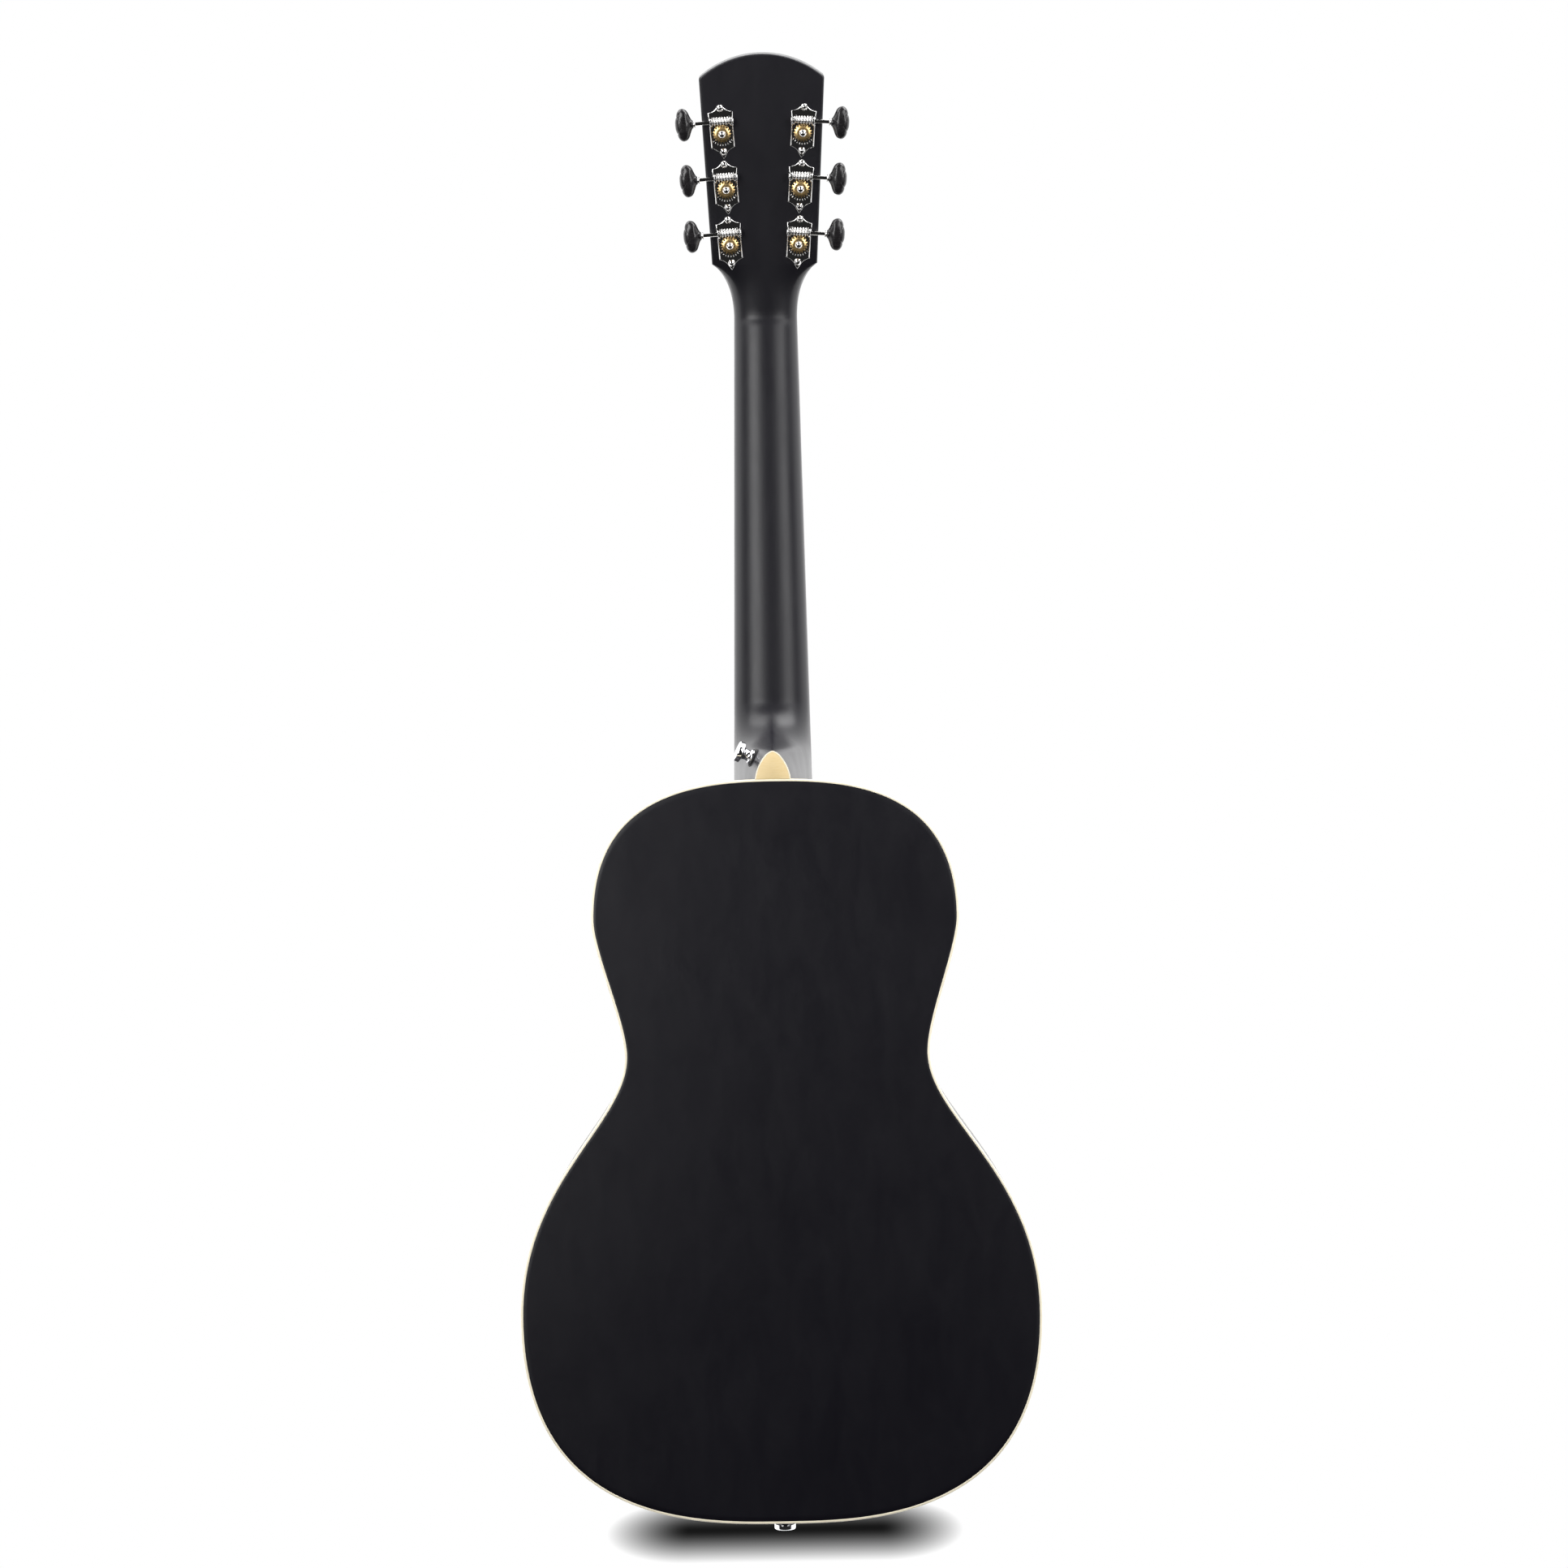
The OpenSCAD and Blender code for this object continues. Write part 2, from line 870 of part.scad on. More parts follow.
// Frame of the headstock: +Y along it, +Z out of its front.
module on_head() {
    translate([0, front_y, nut_z])
        rotate([90 - head_angle, 0, 0])
            children();
}

module rod_channel() {
    translate([-rod_r - 0.2, front_y - over, joint_z + 8])
        cube([2 * rod_r + 0.4, rod_y - front_y + rod_r + 0.3 + over, nut_z - joint_z - 4]);
    on_head()
        translate([-pocket_half, 0, -8])
            cube([2 * pocket_half, pocket_u, 8 + overlay_t + over]);
}

module neck() {
    color(wood_black)
        difference() {
            union() {
                difference() {
                    neck_wood();
                    slab(front_y - over, back_tail_y + 10) plan(0);
                }
                tenon(0);
            }
            rod_channel();
            for (n = [1 : 6])
                at_tuner(n) {
                    translate([0, 0, -over])
                        cylinder(h = head_t + 2, r = sleeve_r + glue, $fn = round_fn);
                    plate_screw_holes();
                }
            at_heel_button()
                translate([0, 0, -felt_t]) {
                    cylinder(h = 20, r = rim_r + 0.3, $fn = round_fn);
                    translate([0, 0, -22])
                        cylinder(h = 23, r = strap_screw_r + glue, $fn = round_fn);
                }
        }
}

module heel_cap() {
    color(cream)
        difference() {
            slab(cap_y + glue, back_neck_y)
                polygon(closed(concat(
                    [[0, joint_z - 3], [cap_half, joint_z - 3]],
                    [for (q = [0 : 0.1 : 0.8]) [cap_width(q), joint_z + q * cap_h]],
                    [for (q = [0.86, 0.92, 0.97]) [cap_width(q), joint_z + q * cap_h]],
                    [[0, joint_z + cap_h]]
                )));
            slab(front_y, back_tail_y + 10) plan(0);
        }
}

module headstock_overlay() {
    color(wood_black)
        on_head()
            difference() {
                translate([0, 0, glue])
                    linear_extrude(overlay_t - glue)
                        polygon(closed(concat(
                            [[0, overlay_u]], head_outline, [[0, head_tip_u - 0.1]]
                        )));
                translate([-pocket_half, 0, -over])
                    cube([2 * pocket_half, pocket_u, overlay_t + 2]);
                for (n = [1 : 6])
                    translate([hand(n) * post_x(n), post_u(n), -over])
                        cylinder(h = overlay_t + 2, r = sleeve_r + glue, $fn = round_fn);
                cover_screw_holes();
            }
}

module truss_rod() {
    color(steel) {
        translate([0, rod_y, joint_z + 12])
            cylinder(h = nut_z - joint_z - 4, r = rod_r, $fn = round_fn);
        translate([0, rod_y, nut_z + 5.2])
            cylinder(h = 6, r = 3, $fn = 6);
    }
}

cover_t = 1.5;
cover_screws = [[0, 33], [-6.2, 12], [6.2, 12]];

module cover_screw_holes() {
    for (p = cover_screws)
        translate([p[0], p[1], overlay_t - 1.4])
            cylinder(h = 10, r = 0.9 + glue, $fn = 24);
}

module truss_rod_cover() {
    color(wood_black)
        on_head()
            difference() {
                translate([0, 0, overlay_t])
                    linear_extrude(cover_t)
                        polygon(closed([
                            [0, 8], [9, 8], [9, 14], [7.4, 20], [5.4, 25],
                            [4, 30], [3.6, 34], [2.4, 36.6], [0, 37.6]
                        ]));
                cover_screw_holes();
            }
}

/* Tuners */

// Distances of the posts from the nut and from the centre line.
post_us = [51, 88.2, 125.4];
post_xs = [23.1, 24.9, 27];

function rank(n) = n < 4 ? n - 1 : 6 - n;
function hand(n) = n < 4 ? 1 : -1;
function post_u(n) = post_us[rank(n)];
function post_x(n) = post_xs[rank(n)];

sleeve_r = 4;
plate_z = 1;
gear_mid = worm_height;
stub_r = 2;
shaft_r = 1.5;
ear_in = 5.8;
ear_out = 7.3;
rail_x = 7.5;
rail_t = 0.9;
rail_h = 0.7;
rail_low = -8.9;
worm_half = 5.6;
worm_pitch = 1.95;
worm_core = 2.4;
worm_throw = 0.6;
plate_screws = [16.9, -12.1];

// Frame of one tuner: +X outward, +Y to the tip, +Z out of the front,
// with its origin on the post axis at the back of the headstock.
module at_tuner(n) {
    on_head()
        if (hand(n) > 0)
            translate([post_x(n), post_u(n), -head_t])
                rotate([0, 0, -tuner_lean])
                    children();
        else
            mirror([1, 0, 0])
                translate([post_x(n), post_u(n), -head_t])
                    rotate([0, 0, -tuner_lean])
                        children();
}

// Frame of the worm of one tuner, with +Z outward along the shaft.
module at_worm(n) {
    at_tuner(n)
        translate([0, worm_distance, -worm_height])
            rotate([0, 90, 0])
                children();
}

module plate_screw_holes() {
    for (t = plate_screws)
        translate([0, t, -3])
            cylinder(h = 12, r = 1 + glue, $fn = 24);
}

// Right half of the outline of the plate, from its lower to its upper point.
plate_half = [
    [0, -16.9], [1.1, -15.4], [2.3, -13.2], [4.1, -11.2], [6.1, -10], [8.2, -9.2],
    [8.1, -5], [8, 6], [8.6, 14.3], [6.6, 14.6], [4.6, 15.3], [2.7, 16.7],
    [1.3, 18.4], [0, 19.4]
];

module tuner_plates() {
    color(steel)
        for (n = [1 : 6])
            at_tuner(n)
                difference() {
                    union() {
                        translate([0, 0, -plate_z])
                            linear_extrude(plate_z - glue)
                                polygon(closed(plate_half));
                        for (s = [-1, 1])
                            translate([s * rail_x - rail_t / 2, rail_low, -plate_z - rail_h])
                                cube([rail_t, worm_distance - 3 - rail_low, rail_h + 0.1]);
                        for (s = [-ear_out, ear_in]) {
                            translate([s, worm_distance - 3, -worm_height])
                                cube([ear_out - ear_in, 6, worm_height - plate_z / 2]);
                            translate([s, worm_distance, -worm_height])
                                rotate([0, 90, 0])
                                    cylinder(h = ear_out - ear_in, r = 3.2, $fn = 32);
                        }
                    }
                    translate([-10, worm_distance, -worm_height])
                        rotate([0, 90, 0])
                            cylinder(h = 20, r = shaft_r + run_gap, $fn = 32);
                    translate([0, 0, -3])
                        cylinder(h = 6, r = post_r + run_gap, $fn = round_fn);
                    plate_screw_holes();
                }
}

module tuner_bushings() {
    color(steel)
        for (n = [1 : 6])
            at_tuner(n)
                difference() {
                    union() {
                        translate([0, 0, head_t + overlay_t - 9])
                            cylinder(h = 9.5, r = sleeve_r, $fn = round_fn);
                        translate([0, 0, head_t + overlay_t])
                            cylinder(h = 1, r = 5.4, $fn = round_fn);
                    }
                    translate([0, 0, head_t - 12])
                        cylinder(h = 20, r = post_r + run_gap, $fn = round_fn);
                }
}

// Domed screw head with a slot, standing on its base plane.
module dome_head(r, h) {
    difference() {
        intersection() {
            translate([0, 0, h - (r * r + h * h) / (2 * h)])
                sphere(r = (r * r + h * h) / (2 * h), $fn = round_fn);
            cylinder(h = h + 1, r = r + 1, $fn = round_fn);
        }
        translate([-r - 1, -0.3, h * 0.45])
            cube([2 * r + 2, 0.6, h]);
    }
}

strap_screw_r = 1.9;

module screws() {
    color(steel) {
        for (n = [1 : 6])
            at_tuner(n)
                for (t = plate_screws)
                    translate([0, t, 0])
                        mirror([0, 0, 1]) {
                            translate([0, 0, plate_z + glue])
                                dome_head(2.4, 1.3);
                            translate([0, 0, -8])
                                cylinder(h = 8 + plate_z + 0.3, r = 1, $fn = 24);
                        }
        on_head()
            for (p = cover_screws)
                translate([p[0], p[1], overlay_t]) {
                    translate([0, 0, cover_t + glue])
                        dome_head(1.7, 0.9);
                    translate([0, 0, -1.3])
                        cylinder(h = 1.5 + cover_t, r = 0.9, $fn = 24);
                }
        at_heel_button() strap_screw();
        at_end_button() strap_screw();
    }
}

module string_post(n) {
    color(steel)
        at_tuner(n)
            difference() {
                union() {
                    translate([0, 0, -gear_mid + gear_t / 2 + glue])
                        cylinder(
                            h = head_t + overlay_t + 12 + gear_mid - gear_t / 2,
                            r = post_r, $fn = round_fn
                        );
                    translate([0, 0, -gear_mid - gear_t / 2 - 0.2])
                        cylinder(h = gear_t + 2, r = stub_r, $fn = round_fn);
                    translate([0, 0, -gear_mid - gear_t / 2 - glue])
                        mirror([0, 0, 1])
                            dome_head(2.7, 1.6);
                }
                translate([0, 10, head_t + overlay_t + 9.6])
                    rotate([90, 0, 0])
                        cylinder(h = 20, r = 0.9, $fn = 24);
            }
}

gear_root = 5;
tooth_root = 0.52;
tooth_tip = 0.17;

module gear(n) {
    step = 360 / gear_teeth;
    color(brass)
        at_tuner(n)
            translate([0, 0, -gear_mid - gear_t / 2])
                difference() {
                    linear_extrude(gear_t)
                        union() {
                            circle(r = gear_root, $fn = 72);
                            for (i = [0 : gear_teeth - 1])
                                rotate(step * (i + 0.5))
                                    polygon([
                                        [-tooth_root, gear_root - 0.5],
                                        [tooth_root, gear_root - 0.5],
                                        [tooth_tip, gear_r],
                                        [-tooth_tip, gear_r]
                                    ]);
                        }
                    translate([0, 0, -over])
                        cylinder(h = gear_t + 2, r = stub_r + glue, $fn = round_fn);
                }
}

module string_coil(n) {
    r = string_r(n);
    color(brass)
        at_tuner(n)
            translate([0, 0, head_t + coil_h])
                rotate_extrude($fn = round_fn)
                    union() {
                        translate([post_r + coil_gap, -coil_turns * r])
                            square([r, 2 * coil_turns * r]);
                        for (i = [0 : coil_turns - 1])
                            translate([coil_mid_r(n), (2 * i + 1 - coil_turns) * r])
                                circle(r = 1.04 * r, $fn = 16);
                    }
}

// Thread of the worm as an off-centre round bar wound about the shaft. The
// crest faces the gear at the middle of its length.
module worm_thread() {
    turns = 2 * worm_half / worm_pitch;
    translate([0, 0, -worm_half])
        rotate(-90 - 180 * turns)
            linear_extrude(2 * worm_half, twist = -360 * turns, slices = ceil(12 * turns))
                translate([worm_throw, 0])
                    circle(r = worm_core, $fn = 12);
}

ferrule_in = 17.2;
button_in = 18.6;
button_half_t = 4;
shaft_end = button_reach - 5;

module worm_shaft(n) {
    color(steel)
        at_worm(n) {
            translate([0, 0, -ear_out - 1.1])
                cylinder(h = ear_out + 1.1 + shaft_end, r = shaft_r, $fn = 32);
            worm_thread();
            translate([0, 0, -ear_out - 1.1])
                cylinder(h = 1, r = 2.2, $fn = 32);
            translate([0, 0, ferrule_in])
                cylinder(h = button_in - glue - ferrule_in, r = 2.5, $fn = 32);
        }
}

// Half outline of the button: [half length, distance from the ferrule].
button_half = [
    [2.6, 0], [3, 0.7], [4.3, 1.4], [6.2, 2.2], [8.2, 2.9], [9.7, 4], [10.5, 5.3],
    [10.9, 6.8], [10.6, 8.2], [9.6, 9.4], [8.2, 10.3], [6.2, 10.9], [5.4, 10.7],
    [4.6, 11.4], [2.4, 11.9]
];

module tuner_button(n) {
    top = button_reach - button_in;
    color(wood_black)
        at_worm(n)
            translate([0, 0, button_in])
                difference() {
                    intersection() {
                        translate([button_half_t, 0, 0])
                            rotate([90, 0, -90])
                                linear_extrude(2 * button_half_t)
                                    polygon(closed(concat(
                                        [[0, 0]], button_half, [[0, top]]
                                    )));
                        union() {
                            cylinder(h = 5, r1 = 2.6, r2 = 3.6, $fn = round_fn);
                            intersection() {
                                translate([-10, 20, top / 2 + 1.6])
                                    rotate([90, 0, 0])
                                        cylinder(h = 40, r = 14, $fn = 96);
                                translate([10, 20, top / 2 + 1.6])
                                    rotate([90, 0, 0])
                                        cylinder(h = 40, r = 14, $fn = 96);
                            }
                        }
                    }
                    translate([0, 0, -over])
                        cylinder(
                            h = shaft_end - button_in + over + glue,
                            r = shaft_r + glue, $fn = 32
                        );
                }
}

/* Strap buttons */

heel_button_at = [13.8, 9.3, 14.8];

// Frames of the strap buttons, with +Z outward and z = 0 on the washer.
module at_end_button() {
    translate([0, 0, tail_z - felt_t])
        mirror([0, 0, 1])
            children();
}

module at_heel_button() {
    translate([heel_button_at[0], heel_button_at[1], joint_z + heel_button_at[2]])
        rotate([-heel_button_lean, 90 - heel_button_tilt, 0])
            children();
}

module strap_button() {
    rotate_extrude($fn = 64)
        polygon([
            [strap_screw_r + glue, 0], [5.2, 0], [5.2, 0.8], [4.3, 2.2],
            [3.7, 3.6], [3.6, 4.7], [3.9, 5.7], [4.8, 6.5],
            [rim_r - 1, strap_length - rim_t], [rim_r - 0.2, strap_length - rim_t],
            [rim_r, strap_length - rim_t + 0.6], [rim_r, strap_length - 0.6],
            [rim_r - 0.7, strap_length], [3.9, strap_length],
            [strap_screw_r + glue, strap_length - 2.2]
        ]);
}

module strap_buttons() {
    color(steel) {
        at_end_button() strap_button();
        at_heel_button() strap_button();
    }
}

module strap_screw() {
    translate([0, 0, -22])
        cylinder(h = strap_length + 20, r = strap_screw_r, $fn = round_fn);
    translate([0, 0, strap_length - 2.1])
        cylinder(h = 1.9, r1 = strap_screw_r, r2 = 3.7, $fn = round_fn);
}

module end_screw_hole() {
    at_end_button()
        translate([0, 0, -24])
            cylinder(h = 30, r = strap_screw_r + glue, $fn = round_fn);
}

module strap_washer() {
    translate([0, 0, -felt_t + felt_gap])
        difference() {
            cylinder(h = felt_t - felt_gap - glue, r = 6.7, $fn = round_fn);
            translate([0, 0, -over])
                cylinder(h = 10, r = strap_screw_r + 0.1, $fn = round_fn);
        }
}

module strap_washers() {
    color(felt) {
        at_end_button() strap_washer();
        at_heel_button() strap_washer();
    }
}

neck();
headstock_overlay();
fingerboard();
frets();
position_dots();
nut();
truss_rod();
truss_rod_cover();
heel_cap();
soundboard();
rosette();
back();
side_bass();
side_treble();
top_binding();
back_binding();
linings();
neck_block();
tail_block();
top_braces();
back_braces();
bridge();
saddle();
bridge_pins();
strings();
strap_buttons();
strap_washers();
tuner_plates();
tuner_bushings();
screws();
tuner_button(1);  // tuner_button_1
worm_shaft(1);  // worm_shaft_1
string_post(1);  // string_post_1
gear(1);  // gear_1
string_coil(1);  // string_coil_1
tuner_button(2);  // tuner_button_2
worm_shaft(2);  // worm_shaft_2
string_post(2);  // string_post_2
gear(2);  // gear_2
string_coil(2);  // string_coil_2
tuner_button(3);  // tuner_button_3
worm_shaft(3);  // worm_shaft_3
string_post(3);  // string_post_3
gear(3);  // gear_3
string_coil(3);  // string_coil_3
tuner_button(4);  // tuner_button_4
worm_shaft(4);  // worm_shaft_4
string_post(4);  // string_post_4
gear(4);  // gear_4
string_coil(4);  // string_coil_4
tuner_button(5);  // tuner_button_5
worm_shaft(5);  // worm_shaft_5
string_post(5);  // string_post_5
gear(5);  // gear_5
string_coil(5);  // string_coil_5
tuner_button(6);  // tuner_button_6
worm_shaft(6);  // worm_shaft_6
string_post(6);  // string_post_6
gear(6);  // gear_6
string_coil(6);  // string_coil_6
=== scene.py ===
import json
from math import asin, cos, exp, hypot, pi, radians, sin, sqrt, tan
import bmesh
import bpy
import numpy as np
from mathutils import Matrix, Vector


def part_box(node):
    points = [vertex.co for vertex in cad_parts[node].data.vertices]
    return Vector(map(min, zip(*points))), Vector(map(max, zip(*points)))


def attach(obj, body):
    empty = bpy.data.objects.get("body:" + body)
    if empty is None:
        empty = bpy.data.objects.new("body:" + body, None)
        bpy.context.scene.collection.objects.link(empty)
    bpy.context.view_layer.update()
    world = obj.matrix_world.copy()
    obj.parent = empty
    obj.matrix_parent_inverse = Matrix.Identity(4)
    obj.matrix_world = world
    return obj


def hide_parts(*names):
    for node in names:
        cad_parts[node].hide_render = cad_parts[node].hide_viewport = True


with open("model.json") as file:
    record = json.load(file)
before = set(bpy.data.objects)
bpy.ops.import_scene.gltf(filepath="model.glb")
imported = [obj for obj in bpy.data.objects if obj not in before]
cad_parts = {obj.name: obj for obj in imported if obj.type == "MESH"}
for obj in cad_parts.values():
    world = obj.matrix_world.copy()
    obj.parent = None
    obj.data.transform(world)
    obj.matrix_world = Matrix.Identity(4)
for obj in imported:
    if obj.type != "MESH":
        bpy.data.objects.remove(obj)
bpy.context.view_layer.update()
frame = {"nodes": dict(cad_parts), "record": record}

MM = 0.001
ROOT = "guitar"
record = frame["record"]
joints = {j["name"]: j for j in record["behaviour"]["joints"]}


def mm_box(node):
    lo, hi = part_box(node)
    return np.array(lo) / MM, np.array(hi) / MM


# ---- dimensions
bind_lo, bind_hi = mm_box("top_binding")
finger_lo = mm_box("fingerboard")[0]
nut_lo = mm_box("nut")[0]
cap_lo, cap_hi = mm_box("heel_cap")
bridge_lo, bridge_hi = mm_box("bridge")
saddle_lo, saddle_hi = mm_box("saddle")
ros_lo, ros_hi = mm_box("rosette")

TAIL = bind_lo[2]
LENGTH = bind_hi[2] - bind_lo[2]
JOINT = bind_hi[2]
LOWER = bind_hi[0]
FRONT = bind_lo[1]
BODY_DEPTH = 104
BACK_TAIL = FRONT + BODY_DEPTH
BACK_NECK = cap_hi[1]
NUT = nut_lo[2]
SADDLE = (saddle_lo[2] + saddle_hi[2]) / 2
HEAD = radians(15)
SCALE = NUT - SADDLE
# binding thickness and height, then the thickness of top, back and sides
BT, BH, TOP_T, BACK_T, SIDE_T = 1.6, 6, 2.8, 2.6, 2.4
ROSETTE_W = 10
HOLE_Z = (ros_lo[2] + ros_hi[2]) / 2
HOLE_R = (ros_hi[0] - ros_lo[0]) / 2 - ROSETTE_W
BOARD_Y = finger_lo[1]
NUT_HALF, JOINT_HALF = 21.45, 26.5
DOME_R = 4572


def unit(vector):
    vector = np.array(vector, float)
    return vector / np.linalg.norm(vector)


def rgb(hexa):
    v = [int(hexa[i:i + 2], 16) / 255 for i in (0, 2, 4)]
    return [c / 12.92 if c < 0.04045 else ((c + 0.055) / 1.055) ** 2.4 for c in v] + [1]


# ---- materials
def tint(tone, share, plus=0):
    return [min(1, c * share + plus) for c in tone[:3]] + [1]


class Nodes:
    """Small helper that builds the nodes of a material, or of the world given to it."""

    def __init__(self, name, world=None):
        self.mat = world or bpy.data.materials.new(name)
        self.mat.use_nodes = True
        self.t = self.mat.node_tree
        self.t.nodes.clear()
        self.out = self.new("OutputWorld" if world else "OutputMaterial")
        self.coord = self.new("TexCoord")

    def new(self, kind, **kw):
        n = self.t.nodes.new("ShaderNode" + kind)
        for k, v in kw.items():
            setattr(n, k, v)
        return n

    def link(self, a, b):
        self.t.links.new(a, b)

    def put(self, socket, value):
        if isinstance(value, bpy.types.NodeSocket):
            self.link(value, socket)
        else:
            socket.default_value = value

    def noise(self, scale, detail, rough, distort=0, stretch=(1, 1, 1)):
        m = self.new("Mapping")
        self.link(self.coord.outputs["Object"], m.inputs["Vector"])
        m.inputs["Scale"].default_value = stretch
        n = self.new("TexNoise")
        self.link(m.outputs["Vector"], n.inputs["Vector"])
        for key, value in (("Scale", scale), ("Detail", detail), ("Roughness", rough),
                           ("Distortion", distort)):
            n.inputs[key].default_value = value
        return n.outputs["Fac"]

    def span(self, value, a, b, c, d):
        m = self.new("MapRange")
        self.link(value, m.inputs["Value"])
        for i, v in enumerate((a, b, c, d)):
            m.inputs[i + 1].default_value = v
        return m.outputs["Result"]

    def blend(self, fac, a, b):
        m = self.new("Mix", data_type="RGBA")
        self.put(m.inputs[0], fac)
        self.put(m.inputs[6], a)
        self.put(m.inputs[7], b)
        return m.outputs[2]

    def math(self, op, a, b=0, c=0):
        m = self.new("Math", operation=op)
        self.put(m.inputs[0], a)
        self.put(m.inputs[1], b)
        self.put(m.inputs[2], c)
        return m.outputs[0]

    def bump(self, height, strength, distance, under=None):
        b = self.new("Bump")
        b.inputs["Strength"].default_value = strength
        b.inputs["Distance"].default_value = distance
        self.link(height, b.inputs["Height"])
        if under is not None:
            self.link(under, b.inputs["Normal"])
        return b.outputs["Normal"]

    def surface(self, color, rough, normal, metallic=0, coat=0, coat_rough=0.1, spec=0.5, sheen=0):
        p = self.new("BsdfPrincipled")
        self.put(p.inputs["Base Color"], color)
        self.put(p.inputs["Roughness"], rough)
        for key, value in (("Metallic", metallic), ("Specular IOR Level", spec), ("Coat Weight", coat),
                           ("Coat Roughness", coat_rough), ("Sheen Weight", sheen)):
            p.inputs[key].default_value = value
        self.link(normal, p.inputs["Normal"])
        self.link(p.outputs[0], self.out.inputs["Surface"])
        return self.mat


def lacquer(name, tone, rough=0.36, spec=0.42):
    """Thin satin lacquer over filled open-pored wood."""
    m = Nodes(name)
    wide = m.noise(9, 5, 0.6)
    pore = m.noise(22, 4, 0.65, stretch=(90, 90, 9))
    rub = m.noise(60, 6, 0.7, 0.6, (1, 1, 0.35))
    dust = m.noise(900, 2, 0.5)
    color = m.blend(wide, tint(tone, 0.88), tint(tone, 1.12))
    color = m.blend(m.span(dust, 0.66, 0.78, 0, 0.35), color, tint(tone, 2.2, 0.002))
    r = m.math("ADD", m.span(rub, 0.3, 0.7, rough - 0.03, rough + 0.04),
               m.span(wide, 0.3, 0.7, -0.01, 0.01))
    fine = m.bump(pore, 0.07, 0.0003)
    skin = m.bump(m.noise(260, 2, 0.4), 0.05, 0.0002, fine)
    return m.surface(color, r, normal=skin, spec=spec)


def plastic(name, tone, rough=0.22, depth=0.12, streak=None):
    m = Nodes(name)
    wide = m.noise(35, 5, 0.6, 0.8)
    fine = m.noise(700, 3, 0.6)
    worn = m.noise(130, 6, 0.7)
    color = m.blend(m.span(wide, 0.35, 0.7, 0, 1), tint(tone, 1 - depth), tint(tone, 1 + depth))
    if streak is not None:
        band = m.noise(streak[1], 6, 0.65, 1.5, streak[0])
        color = m.blend(m.span(band, 0.48, 0.62, 0, streak[3]), color, streak[2])
    r = m.span(worn, 0.3, 0.75, rough - 0.05, rough + 0.12)
    return m.surface(color, r, normal=m.bump(fine, 0.06, 0.0002), coat=0.25, coat_rough=0.08)


def metal(name, tone, rough=0.12, wear=0.12, tarnish=None):
    m = Nodes(name)
    brushed = m.noise(1400, 3, 0.6)
    stain = m.noise(170, 6, 0.65, 0.4)
    scratch = m.noise(2600, 2, 0.5, stretch=(1, 1, 6))
    color = m.blend(m.span(stain, 0.45, 0.72, 0, 0.7), tone, tarnish or tint(tone, 0.8))
    r = m.math("ADD", m.span(stain, 0.4, 0.75, rough, rough + wear),
               m.span(brushed, 0.3, 0.7, -0.02, 0.03))
    n = m.bump(scratch, 0.05, 0.00005, m.bump(brushed, 0.06, 0.00005))
    return m.surface(color, r, metallic=1, normal=n)


def wood(name, pale, dark, ring=(1, 1, 0.02), scale=420, rough=0.45, coat=0, pore=0, spread=0.5):
    """Straight-grained wood: lines along the stretched axis, fleck and pores."""
    m = Nodes(name)
    lines = m.noise(scale, 3, 0.55, 0.25, ring)
    broad = m.noise(scale / 9, 4, 0.6, 0.3, ring)
    fleck = m.noise(scale * 1.6, 3, 0.6, stretch=(*ring[:2], min(1, ring[2] * 12)))
    color = m.blend(m.span(lines, 0.5 - spread / 3, 0.5 + spread / 3, 0, 1), pale, dark)
    mid = [(a + b) / 2 for a, b in zip(pale[:3], dark[:3])] + [1]
    color = m.blend(m.span(broad, 0.35, 0.7, 0, 0.55), color, mid)
    if pore:
        color = m.blend(m.span(fleck, 0.62, 0.72, 0, pore), color, tint(dark, 0.35))
    r = m.span(fleck, 0.3, 0.7, rough - 0.06, rough + 0.08)
    n = m.bump(lines, 0.12, 0.0002, m.bump(fleck, 0.08, 0.0002))
    return m.surface(color, r, normal=n, coat=coat, coat_rough=0.18)


def felt_cloth(name, tone):
    m = Nodes(name)
    fluff = m.noise(2200, 6, 0.8)
    clump = m.noise(420, 4, 0.6)
    color = m.blend(clump, tint(tone, 0.5), tint(tone, 1.6))
    n = m.bump(fluff, 0.8, 0.0006, m.bump(clump, 0.4, 0.0006))
    return m.surface(color, m.span(fluff, 0.3, 0.7, 0.85, 1), normal=n, sheen=0.35, spec=0.1)


BLACK = lacquer("satin_black", [0.0028, 0.0024, 0.0052, 1], spec=0.33)
# painted light: the neck's copy of the satin black has a lighter base than the body's, standing in for the
# brighter look the lights give the neck
BLACK_NECK_PAINTED_LIGHTER = lacquer("satin_black_neck_painted_lighter", [0.0090, 0.0085, 0.0118, 1], 0.34)
CREAM = plastic("cream_binding", rgb("f3ead2"), 0.26, 0.05)
CAP_CREAM = plastic("cream_cap", rgb("ead2a0"), 0.3, 0.04, ((30, 30, 300), 3, rgb("e2c78c"), 0.5))
IVORY = plastic("bone_white", rgb("efe6cf"), 0.3, 0.05)
PEARL = plastic("pearl_dot", rgb("e8ebe6"), 0.15, 0.2)
BUTTON = plastic("button_black", [0.009, 0.008, 0.009, 1], 0.26, 0.35,
                 ((60, 60, 420), 4, [0.03, 0.026, 0.03, 1], 0.6))
NICKEL = metal("nickel_bright", [0.78, 0.77, 0.76, 1], 0.035, wear=0.06)
CHROME = metal("chrome_bright", [0.82, 0.82, 0.84, 1], 0.05, wear=0.06)
STEEL = metal("plain_steel", [0.6, 0.6, 0.6, 1], 0.22)
FRET_WIRE = metal("fret_silver", [0.7, 0.69, 0.66, 1], 0.16)
BRASS = metal("gear_brass", [0.88, 0.62, 0.28, 1], 0.26, tarnish=[0.6, 0.38, 0.16, 1])
